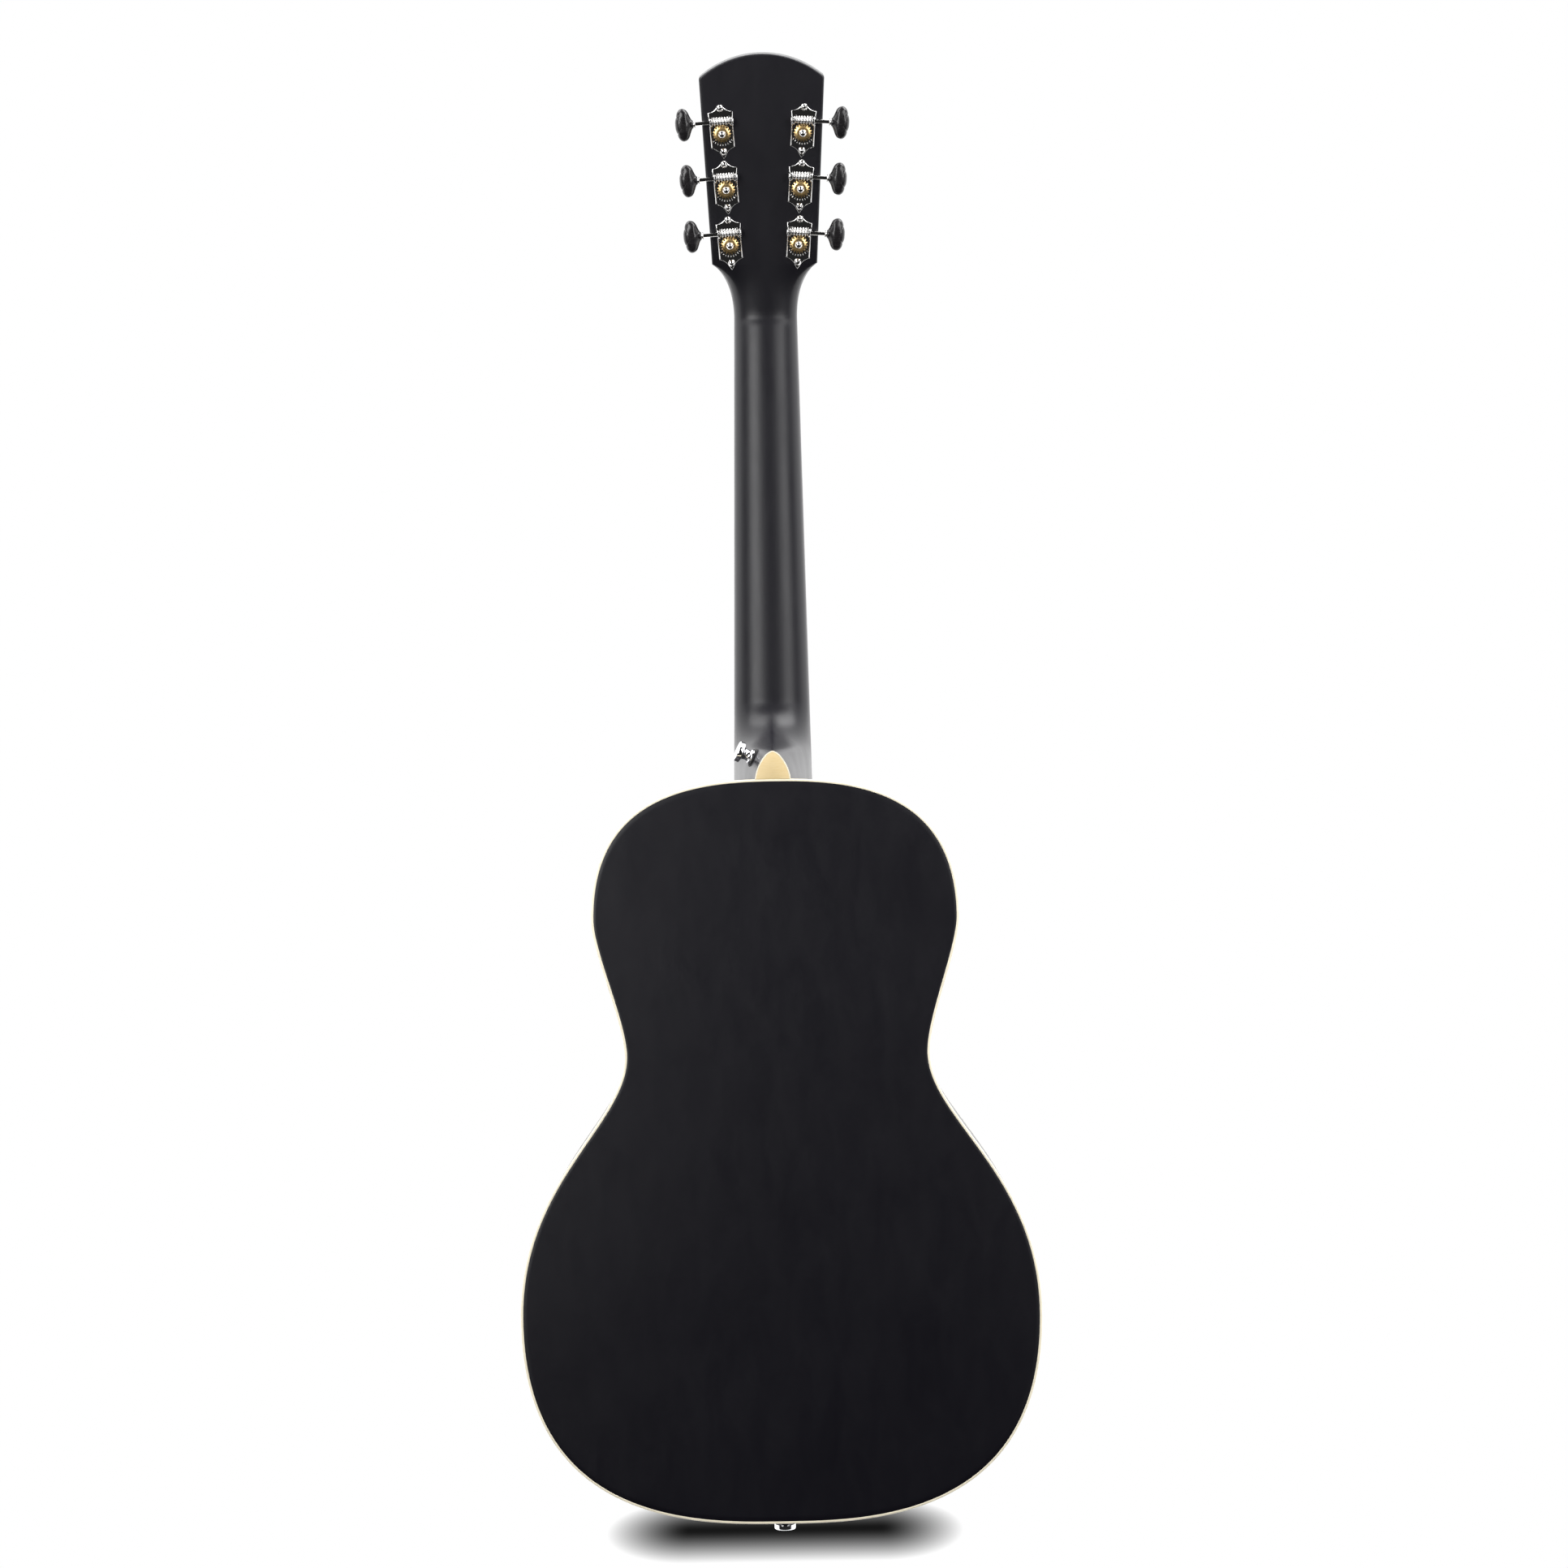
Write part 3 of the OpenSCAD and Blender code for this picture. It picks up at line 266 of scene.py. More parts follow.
BRONZE = metal("wound_bronze", [0.72, 0.5, 0.28, 1], 0.3, tarnish=[0.5, 0.33, 0.2, 1])
SPRUCE = wood("spruce_top", rgb("e3c48c"), rgb("c79a5c"), (1, 1, 0.01), 520, 0.3, 0.5, 0, 0.42)
INNER = wood("inner_spruce", rgb("dcbf92"), rgb("bd9866"), (1, 1, 0.02), 300, 0.6)
MAHOGANY = wood("inner_mahogany", rgb("8e5a3a"), rgb("5b331f"), (1, 1, 0.03), 500, 0.5, 0, 0.6)
ROSEWOOD = wood("dark_rosewood", rgb("46291d"), rgb("1e110c"), (1, 1, 0.02), 700, 0.38, 0.05, 0.8)
FELT = felt_cloth("black_felt", [0.012, 0.012, 0.013, 1])


# ---- mesh tools
def new_object(name, data):
    ob = bpy.data.objects.new(name, data)
    bpy.context.scene.collection.objects.link(ob)
    return ob


def clean_mesh(name, verts, faces):
    """Welded mesh with outward normals, from millimetre vertices."""
    me = bpy.data.meshes.new(name)
    me.from_pydata([tuple(float(c) * MM for c in v) for v in verts], [], [tuple(f) for f in faces])
    bm = bmesh.new()
    bm.from_mesh(me)
    bmesh.ops.remove_doubles(bm, verts=bm.verts, dist=2e-7)
    bmesh.ops.dissolve_degenerate(bm, edges=bm.edges, dist=1e-7)
    bmesh.ops.recalc_face_normals(bm, faces=bm.faces)
    bm.to_mesh(me)
    bm.free()
    return me


def drilled(ob, holes):
    """The object's mesh with every hole shape cut out of it."""
    cutters = []
    for k, hole in enumerate(holes):
        cutter = new_object("cutter", clean_mesh("cutter", *hole))
        cutters.append(cutter)
        mod = ob.modifiers.new(f"hole_{k}", "BOOLEAN")
        mod.operation = "DIFFERENCE"
        mod.solver = "EXACT"
        mod.object = cutter
    graph = bpy.context.evaluated_depsgraph_get()
    me = bpy.data.meshes.new_from_object(ob.evaluated_get(graph))
    ob.modifiers.clear()
    ob.data = me
    for cutter in cutters:
        bpy.data.objects.remove(cutter)
    return me


def build(name, mesh, mat, node, slot, body=ROOT, sharp=34, holes=()):
    """Mesh object from millimetre vertices, shown in place of a CAD node."""
    me = clean_mesh(name, *mesh)
    me.materials.append(mat)
    ob = new_object(name, me)
    if holes:
        me = drilled(ob, holes)
    me.polygons.foreach_set("use_smooth", [True] * len(me.polygons))
    me.set_sharp_from_angle(angle=radians(sharp))
    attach(ob, body)
    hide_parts(node)


class Shape:
    """Collects vertices and faces of several shells."""

    def __init__(self):
        self.v, self.f = [], []

    def add(self, verts, faces, place=None):
        base = len(self.v)
        self.v += [place(p) if place else p for p in verts]
        self.f += [[base + i for i in f] for f in faces]
        return self

    def make(self, name, mat, node, slot, **kw):
        build(name, (self.v, self.f), mat, node, slot, **kw)


def skin(loops, caps=True):
    """Quads between loops of equal length; flat caps on the first and last."""
    n = len(loops[0])
    verts = [p for l in loops for p in l]
    faces = []
    for i in range(len(loops) - 1):
        for k in range(n):
            a, b = i * n + k, i * n + (k + 1) % n
            faces.append([a, b, b + n, a + n])
    if caps:
        faces.append(list(range(n)))
        faces.append([(len(loops) - 1) * n + k for k in range(n - 1, -1, -1)])
    return verts, faces


def lathe(profile, steps=48):
    """Profile of (radius, height) pairs turned about the local third axis."""
    verts, faces, rows = [], [], []
    for r, h in profile:
        count = 1 if r < 1e-6 else steps
        rows.append([len(verts) + k for k in range(count)])
        verts += [(r * cos(2 * pi * k / steps), r * sin(2 * pi * k / steps), h)
                  for k in range(count)]
    for p, q in zip(rows, rows[1:]):
        for k in range(steps):
            face = [p[k % len(p)], p[(k + 1) % len(p)], q[(k + 1) % len(q)], q[k % len(q)]]
            face = list(dict.fromkeys(face))
            if len(face) > 2:
                faces.append(face)
    return verts, faces


def fan(verts, faces, first, n, tip):
    """Closes a loop of n vertices with triangles to one point."""
    faces += [[first + i, first + (i + 1) % n, len(verts)] for i in range(n)]
    verts.append(tip)


def arc(cx, cy, r, a0, a1, n):
    angles = [radians(a0 + (a1 - a0) * i / n) for i in range(n + 1)]
    return [(cx + r * cos(a), cy + r * sin(a)) for a in angles]


def normals2(pts):
    """Inward miter vectors of a counter-clockwise closed outline."""
    p = np.array(pts, float)
    a = p - np.roll(p, 1, 0)
    na = np.stack([-a[:, 1], a[:, 0]], 1) / np.maximum(np.linalg.norm(a, axis=1), 1e-9)[:, None]
    nb = np.roll(na, -1, 0)
    return (na + nb) / np.maximum(1 + (na * nb).sum(1), 0.35)[:, None]


def inset2(pts, d):
    return np.array(pts, float) + normals2(pts) * d


def ccw(pts):
    p = np.array(pts, float)
    x, y = p[:, 0], p[:, 1]
    if (x * np.roll(y, -1) - np.roll(x, -1) * y).sum() < 0:
        return p[::-1]
    return p


def smooth_line(pts, n):
    """Catmull-Rom curve through points."""
    p = [np.array(q, float) for q in pts]
    out = []
    for i, (b, c) in enumerate(zip(p, p[1:])):
        a = p[i - 1] if i > 0 else 2 * b - c
        d = p[i + 2] if i + 2 < len(p) else 2 * c - b
        for k in range(n):
            t = k / n
            out.append(tuple(0.5 * (2 * b + (c - a) * t + (2 * a - 5 * b + 4 * c - d) * t * t
                                    + (3 * b - a - 3 * c + d) * t ** 3)))
    return out + [tuple(p[-1])]


def slab(outline, lo, hi, top=0.3, bottom=0.3, steps=4, top_w=None):
    """Flat plate from an outline, with rounded edges; local third axis is its thickness."""
    o = ccw(outline)
    top_w = top if top_w is None else top_w
    loops = []
    for i in range(steps + 1 if bottom > 0 else 1):
        a = pi / 2 * i / steps if bottom > 0 else pi / 2
        q = inset2(o, bottom * (1 - sin(a)))
        z = lo + bottom * (1 - cos(a))
        loops.append([(x, y, z) for x, y in q])
    for i in range(steps + 1 if top > 0 else 1):
        a = pi / 2 * i / steps
        q = inset2(o, top_w * (1 - cos(a)))
        z = hi - top * (1 - sin(a))
        loops.append([(x, y, z) for x, y in q])
    return skin(loops)


def mirror_outline(half):
    """Closed outline from a right half listed from bottom to top."""
    right = [tuple(p) for p in half]
    left = [(-x, y) for x, y in right[::-1] if abs(x) > 1e-6]
    return right + left


def tube(path, radius, steps=12):
    """Round tube along a polyline, with a steady frame."""
    p = [np.array(q, float) for q in path]
    loops = []
    ref = None
    for i, q in enumerate(p):
        d = unit(p[min(i + 1, len(p) - 1)] - p[max(i - 1, 0)])
        if ref is None:
            ref = np.cross(d, [0, 0, 1])
            if np.linalg.norm(ref) < 1e-3:
                ref = np.cross(d, [0, 1, 0])
        ref = unit(ref - d * ref.dot(d))
        side = np.cross(d, ref)
        loops.append([q + radius * (cos(a) * ref + sin(a) * side)
                      for a in (2 * pi * k / steps for k in range(steps))])
    return skin(loops)


# ---- body
def bezier(p, t):
    p = [np.array(q, float) for q in p]
    return ((1 - t) ** 3 * p[0] + 3 * t * (1 - t) ** 2 * p[1]
            + 3 * t * t * (1 - t) * p[2] + t ** 3 * p[3])


LOWER_Z, WAIST_Z, UPPER_Z = 135.6, 306.7, 396.3
WAIST, UPPER = 100, 120.9
CURVES = [
    [(0, 0), (50.2, 0), (LOWER, LOWER_Z - 138.6), (LOWER, LOWER_Z)],
    [(LOWER, LOWER_Z), (LOWER, LOWER_Z + 91.2), (WAIST, WAIST_Z - 43.2), (WAIST, WAIST_Z)],
    [(WAIST, WAIST_Z), (WAIST, WAIST_Z + 22.9), (UPPER, UPPER_Z - 21.2), (UPPER, UPPER_Z)],
    [(UPPER, UPPER_Z), (UPPER, UPPER_Z + 87.4), (45, LENGTH), (0, LENGTH)],
]
RIM_N = 60


def half_rim():
    out = []
    for c in CURVES:
        out += [bezier(c, i / RIM_N) for i in range(0 if not out else 1, RIM_N + 1)]
    p = np.array(out)
    q = np.concatenate([[[-p[1, 0], p[1, 1]]], p, [[-p[-2, 0], p[-2, 1]]]])
    d = q[2:] - q[:-2]
    n = np.stack([-d[:, 1], d[:, 0]], 1) / np.linalg.norm(d, axis=1)[:, None]
    p[:, 1] += TAIL
    return p, n


RIM_P, RIM_NORMAL = half_rim()
RIM_LAST = len(RIM_P) - 1
RIM_CLOSED_P = np.concatenate([RIM_P, RIM_P[-2:0:-1] * [-1, 1]])
RIM_CLOSED_N = np.concatenate([RIM_NORMAL, RIM_NORMAL[-2:0:-1] * [-1, 1]])

chord = hypot(BACK_NECK - BACK_TAIL, LENGTH)
drop = sqrt(DOME_R ** 2 - chord ** 2 / 4)
DOME_C = ((BACK_TAIL + BACK_NECK) / 2 - drop * LENGTH / chord,
          TAIL + LENGTH / 2 + drop * (BACK_NECK - BACK_TAIL) / chord)


def dome_y(x, z, depth=0):
    return DOME_C[0] + sqrt((DOME_R - depth) ** 2 - x * x - (z - DOME_C[1]) ** 2)


def level(x, z, y):
    """Depth at a place: y is a number, or a depth under the dome wrapped in a list."""
    return dome_y(x, z, y[0]) if isinstance(y, list) else y


def rim_loop(inset, y):
    return [(x, level(x, z, y), z) for x, z in RIM_CLOSED_P + RIM_CLOSED_N * inset]


def toward(loop, centre, r, y):
    """The loop drawn in to a share r of its distance from the centre."""
    q = [(centre[0] + r * (x - centre[0]), centre[1] + r * (z - centre[1])) for x, _, z in loop]
    return [(x, level(x, z, y), z) for x, z in q]


def disc(edge_loops, centre, top, bottom, radii):
    """Closed plate whose faces run in rings to a centre point."""
    loops = [toward(edge_loops[0], centre, r, bottom) for r in radii[::-1]]
    loops += edge_loops
    loops += [toward(edge_loops[-1], centre, r, top) for r in radii]
    n = len(edge_loops[0])
    verts, faces = skin(loops, caps=False)
    for k, y in ((0, bottom), (len(loops) - 1, top)):
        fan(verts, faces, k * n, n, (centre[0], level(*centre, y), centre[1]))
    return verts, faces


RADII = [0.985, 0.96, 0.92, 0.86, 0.78, 0.68, 0.57, 0.45, 0.33, 0.2, 0.09]
edge = [rim_loop(BT + inset, [y]) for inset, y in ((0.02, BACK_T), (0.02, 0.16), (0.07, 0.05), (0.2, 0))]
build("back_plate", disc(edge, (0, TAIL + 240), [0], [BACK_T], RADII), BLACK, "back", "black_lacquer")


def band(section, name, mat, node, slot, lo=0, hi=None):
    """Strip swept along the rim: section is a list of (inset, y or [dome depth])."""
    loops = [rim_loop(i, y) for i, y in section]
    if hi is None:
        mesh = skin(loops + [loops[0]], caps=False)
    else:
        n = len(loops[0])
        mesh = skin([[loop[k % n] for loop in loops] for k in range(lo, hi + 1)])
    build(name, mesh, mat, node, slot)


def binding(name, node, below):
    """Binding strip with one rounded corner; below(d) is the depth d under its face."""
    rows = [(BT, BH - 0.02), (BT, 0.04), (BT - 0.1, 0)]
    rows += [(CORNER_R * (1 - sin(a)), CORNER_R * (1 - cos(a)))
             for a in np.linspace(0, pi / 2, 6)]
    rows += [(0, BH - 0.1), (0.06, BH - 0.02)]
    band([(i, below(d)) for i, d in rows], name, CREAM, node, "cream_plastic")


CORNER_R = 0.75
binding("binding_back", "back_binding", lambda d: [d])
binding("binding_top", "top_binding", lambda d: FRONT + d)

side_section = [(0.1, FRONT + BH), (0.02, FRONT + BH + 0.12)]
side_section += [(0.02, FRONT + BH + 12 * k) for k in range(1, 4)]
side_section += [(0.02, [40 - 9 * k]) for k in range(4)]
side_section += [(0.02, [BH + 0.12]), (0.1, [BH]), (BT, [BH]), (BT, [BACK_T + 0.02]),
                 (SIDE_T, [BACK_T + 0.02]), (SIDE_T, FRONT + TOP_T + 0.02), (BT, FRONT + TOP_T + 0.02),
                 (BT, FRONT + BH)]
band(side_section, "side_treble_shell", BLACK, "side_treble", "black_lacquer", 0, RIM_LAST)
band(side_section, "side_bass_shell", BLACK, "side_bass", "black_lacquer", RIM_LAST, 2 * RIM_LAST)


# soundboard with its hole, rings run from the hole to the rim
def board_rings():
    centre = np.array([0, HOLE_Z])
    outer = RIM_CLOSED_P + RIM_CLOSED_N * (BT + 0.02)
    ang = np.arctan2(outer[:, 1] - centre[1], outer[:, 0] - centre[0])
    ring = np.stack([np.cos(ang), np.sin(ang)], 1)

    def at(r, y):
        edge = centre + ring * HOLE_R
        return [(x, y, z) for x, z in edge + (outer - edge) * r]

    def hole(r, y):
        return [(x, y, z) for x, z in centre + ring * r]

    back_y = FRONT + TOP_T
    loops = [hole(HOLE_R + r, FRONT + y) for r, y in ((0.9, 0), (0.45, 0.12), (0.12, 0.45), (0, 0.9))]
    loops += [hole(HOLE_R, back_y - 0.6), hole(HOLE_R + 0.6, back_y)]
    loops += [at(r, back_y) for r in (0.1, 0.3, 0.6, 0.85, 1)]
    loops += [at(1, FRONT + 0.12), at(0.999, FRONT)]
    loops += [at(r, FRONT) for r in (0.85, 0.6, 0.35, 0.15)]
    return skin(loops + [loops[0]], caps=False)


build("soundboard_plate", board_rings(), SPRUCE, "soundboard", "soundboard_spruce")


def y_disc(profile, x, z, y, steps):
    """Lathe about the Y axis; heights grow out of the front from y."""
    verts, faces = lathe(profile, steps)
    return [(x + a, y - h, z + b) for a, b, h in verts], faces


# three rings round the soundhole, set in flush
rosette = Shape()
for r0, r1 in ((5, 5.9), (6.4, 8.6), (9.1, ROSETTE_W)):
    prof = [(r0, -0.7), (r0, 0), (r0 + 0.06, 0.04), (r1 - 0.06, 0.04), (r1, 0), (r1, -0.7), (r0, -0.7)]
    rosette.add(*y_disc([(HOLE_R + r, h) for r, h in prof], 0, HOLE_Z, FRONT, 160))
rosette.make("rosette_rings", CREAM, "rosette", "cream_plastic")

# ---- neck
CAP_H, CAP_HALF = 18.5, 11.75
HEEL_REACH, HEEL_D, NUT_D = 52, 17.5, 15
CAP_Y = cap_lo[1]
HEAD_T, OVER_T, NUT_T = 13.5, 1.5, 5
LOW_U, LOW_HALF, TOP_U, TOP_HALF, TIP_U = 37.9, 35.5, 162.2, 41.9, 177.6
RISE = TIP_U - TOP_U
CROWN_R = (TOP_HALF ** 2 + RISE ** 2) / (2 * RISE)
CROWN_U = TIP_U - CROWN_R
CROWN_A = asin(TOP_HALF / CROWN_R)


def clip(t):
    return min(1, max(0, t))


def arch_fall(q):
    """Share of the heel cap's half width left at a height share."""
    return (1 - clip(q) ** 1.5) ** 0.6


def ease(t):
    t = clip(t)
    return t * t * (3 - 2 * t)


def mix(a, b, t):
    return a + (b - a) * t


def board_half(z):
    return NUT_HALF + (JOINT_HALF - NUT_HALF) / (NUT - JOINT) * (NUT - z)


def head_half(u):
    if u < LOW_U:
        q = clip(u / LOW_U)
        return NUT_HALF + (LOW_HALF - NUT_HALF) * (0.75 * q ** 3 + 0.25 * q ** 1.5)
    return mix(LOW_HALF, TOP_HALF, (u - LOW_U) / (TOP_U - LOW_U))


def head_reach(u, inset=0):
    """Half width of the headstock at u, inside its outline, with softened corners."""
    side = head_half(u) - inset
    if u < CROWN_U:
        return side
    over = (CROWN_R - inset) ** 2 - (u - CROWN_U) ** 2
    if over <= 0:
        return -1
    crown = sqrt(over)
    soft = 0.9
    gap = clip(0.5 + 0.5 * (crown - side) / soft)
    return mix(crown, side, gap) - soft * gap * (1 - gap)


def head_point(p):
    """Point of the headstock frame: across, along from the nut, out of the front."""
    x, u, h = p
    return (x, FRONT + u * sin(HEAD) - h * cos(HEAD),
            NUT + u * cos(HEAD) + h * sin(HEAD))


PROFILE = 40
SIDE_STEPS, EDGE_STEPS = 12, 8
EDGE_R = 1.3


def box_point(j, w, d, reach=None):
    """Point j of a rounded box section; reach(e) is the half width at an inset e."""
    reach = reach or (lambda e: w - e)
    if j <= SIDE_STEPS:
        return reach(0), (d - EDGE_R) * j / SIDE_STEPS
    if j <= SIDE_STEPS + EDGE_STEPS:
        a = pi / 2 * (j - SIDE_STEPS) / EDGE_STEPS
        inset = EDGE_R * (1 - cos(a))
        if reach(inset) <= 0:
            lo, hi = 0, a
            for _ in range(30):
                mid = (lo + hi) / 2
                lo, hi = (mid, hi) if reach(EDGE_R * (1 - cos(mid))) > 0 else (lo, mid)
            a = lo
        return max(0, reach(EDGE_R * (1 - cos(a)))), d - EDGE_R + EDGE_R * sin(a)
    x, y = box_point(SIDE_STEPS + EDGE_STEPS, w, d, reach)
    return x * (PROFILE - j) / (PROFILE - SIDE_STEPS - EDGE_STEPS), y


# how the heel's cheeks curve between the fingerboard and the ridge
CHEEK_BEND, CHEEK_POWER = 1.12, 0.76


def half_section(w, d, heel=0, box=0, reach=None):
    """Half of a neck section, cut off at depth d when its ridge would reach deeper."""
    out = []
    bend, power = mix(2.3, CHEEK_BEND, heel), mix(0.5, CHEEK_POWER, heel)
    for j in range(PROFILE + 1):
        s = sin(pi / 2 * j / PROFILE)
        x = w * max(0, 1 - (s * d / (reach or d)) ** bend) ** power
        y = s * d
        if box > 0:
            bx, by = box_point(j, w, d)
            x, y = mix(x, bx, box), mix(y, by, box)
        out.append((max(0, x), y))
    return out


def neck_loops():
    rows = []
    full = CAP_Y - FRONT
    tip = JOINT + CAP_H
    for q in [-0.09, -0.04, 0] + [0.045 * k for k in range(1, 22)] + [0.97, 0.985, 1]:
        z = JOINT + q * CAP_H
        w = board_half(z)
        share = (CAP_HALF / w * arch_fall(clip(q))) ** (1 / CHEEK_POWER)
        reach = full / (1 - share) ** (1 / CHEEK_BEND)
        rows.append((z, 0, half_section(w, full, 1, 0, reach)))
    ridge = [(tip, full), (tip + 5, full - 17), (tip + 4.5, HEEL_D + 6), (JOINT + HEEL_REACH, HEEL_D)]
    for i in range(1, 91):
        z, d = bezier(ridge, (i / 90) ** 1.1)
        rows.append((z, 0, half_section(board_half(z), d, 1 - ease((z - tip) / (HEEL_REACH - CAP_H)))))
    for z in np.arange(JOINT + HEEL_REACH + 4, NUT - 12, 8):
        d = mix(HEEL_D, NUT_D, (z - JOINT - HEEL_REACH) / (NUT - JOINT - HEEL_REACH))
        rows.append((z, 0, half_section(board_half(z), d)))
    for k in range(9):
        t = k / 8
        z = NUT - 10 + 17 * t
        tilt = HEAD * ease(0.1 + 0.88 * t)
        w = board_half(z) if z < NUT else head_half(z - NUT)
        rows.append((z, tilt, half_section(w, mix(NUT_D, HEAD_T, ease(t)), 0, 0.02 * t)))
    for k in range(1, 41):
        u = mix(8.5, LOW_U, k / 40)
        box = mix(0.02, 1, clip((u - 7) / (LOW_U - 7)) ** 3.2)
        rows.append((NUT + u * cos(HEAD), HEAD, half_section(head_half(u), HEAD_T, 0, box)))
    loops = []
    for z, tilt, half in rows:
        front = FRONT + max(0, z - NUT) * tan(HEAD)
        pts = [(x, front + y * cos(tilt), z - y * sin(tilt)) for x, y in half]
        loops.append(pts + [(-x, y, zz) for x, y, zz in pts[-2::-1]])
    stations = [mix(LOW_U, TOP_U, k / 10) for k in range(1, 10)]
    stations += [TOP_U - 8 * cos(pi / 2 * k / 12) for k in range(1, 12)]
    stations += [TOP_U + RISE * sin(pi / 2 * k / 40) for k in range(41)]
    for u in stations:
        half = [box_point(j, head_half(u), HEAD_T, lambda e: head_reach(u, e)) for j in range(PROFILE + 1)]
        pts = [head_point((x, u, -y)) for x, y in half]
        loops.append(pts + [(-x, y, z) for x, y, z in pts[-2::-1]])
    return loops


def crown_outline(u0):
    """Outline of the headstock from u0 to the tip, with softened upper corners."""
    half = [(head_half(u0), u0)]
    if u0 < LOW_U:
        half += [(head_half(u), u) for u in np.linspace(u0, LOW_U, 30)[1:]]
    a = np.array([LOW_HALF, LOW_U])
    b = np.array([TOP_HALF, TOP_U])
    tip = [np.array([CROWN_R * sin(t), CROWN_U + CROWN_R * cos(t)])
           for t in np.linspace(CROWN_A, 0, 40)]
    half += [tuple(a + (b - a) * k / 10) for k in range(1, 10)]
    start, end = b - unit(b - a) * 1.6, tip[1]
    for k in range(7):
        t = k / 6
        half.append(tuple((1 - t) ** 2 * start + 2 * t * (1 - t) * b + t * t * end))
    half += [tuple(p) for p in tip[2:-1]] + [(0, TIP_U)]
    return half


POST_U, POST_X = (51, 88.2, 125.4), (23.1, 24.9, 27)
POST_HOLE_R = 4.05


def post_holes(low, high):
    """Cylinders through the headstock at the six posts."""
    out = []
    for u, x in zip(POST_U + POST_U, POST_X + tuple(-x for x in POST_X)):
        vv, ff = lathe([(0, low), (POST_HOLE_R, low), (POST_HOLE_R, high), (0, high)], 40)
        out.append(([head_point((x + a, u + b, h)) for a, b, h in vv], ff))
    return out


# the neck and the back of the headstock wear the lighter copy of the satin black, painted light
build("neck_wood", skin(neck_loops()), BLACK_NECK_PAINTED_LIGHTER, "neck", "black_lacquer", sharp=38,
      holes=post_holes(-HEAD_T - 2, 2))

# the face starts just past the nut
u0 = NUT_T / cos(HEAD) + 0.5
outline = mirror_outline([(0, u0)] + crown_outline(u0))
Shape().add(*slab(outline, 0.02, OVER_T, top=0.6, bottom=0.02), head_point).make(
    "headstock_face", BLACK, "headstock_overlay", "black_lacquer", holes=post_holes(-1, OVER_T + 2))

cover = smooth_line([(9, 8.6), (9, 13), (8.1, 18), (6.2, 23), (4.6, 28), (3.9, 32.5),
                     (3, 35.6), (1.5, 37.2)], 6)
outline = mirror_outline([(0, 8), (8.4, 8)] + cover + [(0, 37.6)])
Shape().add(*slab(outline, OVER_T + 0.02, OVER_T + 1.5, top=0.5, bottom=0), head_point).make(
    "rod_cover", BLACK, "truss_rod_cover", "black_lacquer")


# heel cap, pointed arch with a lighter edge
CAP_EDGE = 0.8


def cap_arch(inset, steps=48):
    """Right half of the cap's arch, from the body to the tip, moved inwards."""
    out = []
    for k in range(steps + 1):
        q = sin(pi / 2 * k / steps) * (1 - 1e-4)
        x = CAP_HALF * arch_fall(q)
        dx = (CAP_HALF * arch_fall(q + 1e-5) - CAP_HALF * arch_fall(max(0, q - 1e-5))) / 2e-5 / CAP_H
        n = np.array([1, -dx]) / hypot(1, dx)
        out.append((x - inset * n[0], JOINT + q * CAP_H - inset * n[1]))
    out = [p for p in out if p[0] > 0.15]
    return out + [(0, JOINT + CAP_H - inset)]


inset = CAP_EDGE + 0.01
outline = mirror_outline([(0, JOINT - 0.1), (CAP_HALF - inset, JOINT - 0.1)] + cap_arch(inset)[1:])
Shape().add(*slab(outline, CAP_Y + 0.03, BACK_NECK, top=0.15, bottom=0, steps=3),
            lambda p: (p[0], p[2], p[1])).make("heel_cap_plate", CAP_CREAM, "heel_cap", "cream_plastic")

# lighter rim of the cap: a ring between the arch and its inset, open towards the body
rim_out = cap_arch(0, 60)
rim_out += [(-x, z) for x, z in rim_out[-2::-1]]
loops = []
for k, (x, z) in enumerate(rim_out):
    d = unit(np.subtract(rim_out[min(len(rim_out) - 1, k + 1)], rim_out[max(0, k - 1)]))
    inward = np.array([-d[1], d[0]])
    ring = [(0, CAP_Y + 0.03), (0, BACK_NECK - 0.22), (0.07, BACK_NECK - 0.06), (0.22, BACK_NECK),
            (CAP_EDGE, BACK_NECK), (CAP_EDGE, CAP_Y + 0.03)]
    loops.append([(x + inward[0] * e, y, max(JOINT - 0.1, z + inward[1] * e)) for e, y in ring])
build("heel_cap_edge", skin(loops), CREAM, "heel_cap", "cream_plastic")


# ---- fingerboard, frets, nut
def fret_z(i):
    return NUT - SCALE * (1 - 2 ** (-i / 12))


FRETS = sum(1 for i in range(1, 30) if fret_z(i) > finger_lo[2] + 2)
w0, w1 = board_half(finger_lo[2]), board_half(NUT)
outline = [(-w0, finger_lo[2]), (w0, finger_lo[2]), (w1, NUT - 0.02), (-w1, NUT - 0.02)]
Shape().add(*slab(outline, -FRONT, -BOARD_Y, top=0.5, bottom=0.05), lambda p: (p[0], -p[2], p[1])).make(
    "fingerboard_plate", ROSEWOOD, "fingerboard", "dark_wood")

frets = Shape()
for i in range(1, FRETS + 1):
    z, w = fret_z(i), board_half(fret_z(i)) - 0.05
    loops = []
    for x, k in [(-w, 0.05), (-w + 0.15, 0.45), (-w + 0.45, 0.8), (-w + 1, 1), (0, 1),
                 (w - 1, 1), (w - 0.45, 0.8), (w - 0.15, 0.45), (w, 0.05)]:
        rise, foot = 1.02 * k, 1.1 * (0.75 + 0.25 * k)
        loops.append([(x, BOARD_Y + 0.05 - rise * sin(a), z + foot * cos(a))
                      for a in np.linspace(0, pi, 13)])
    frets.add(*skin(loops))
frets.make("fret_wires", FRET_WIRE, "frets", "fret_wire")

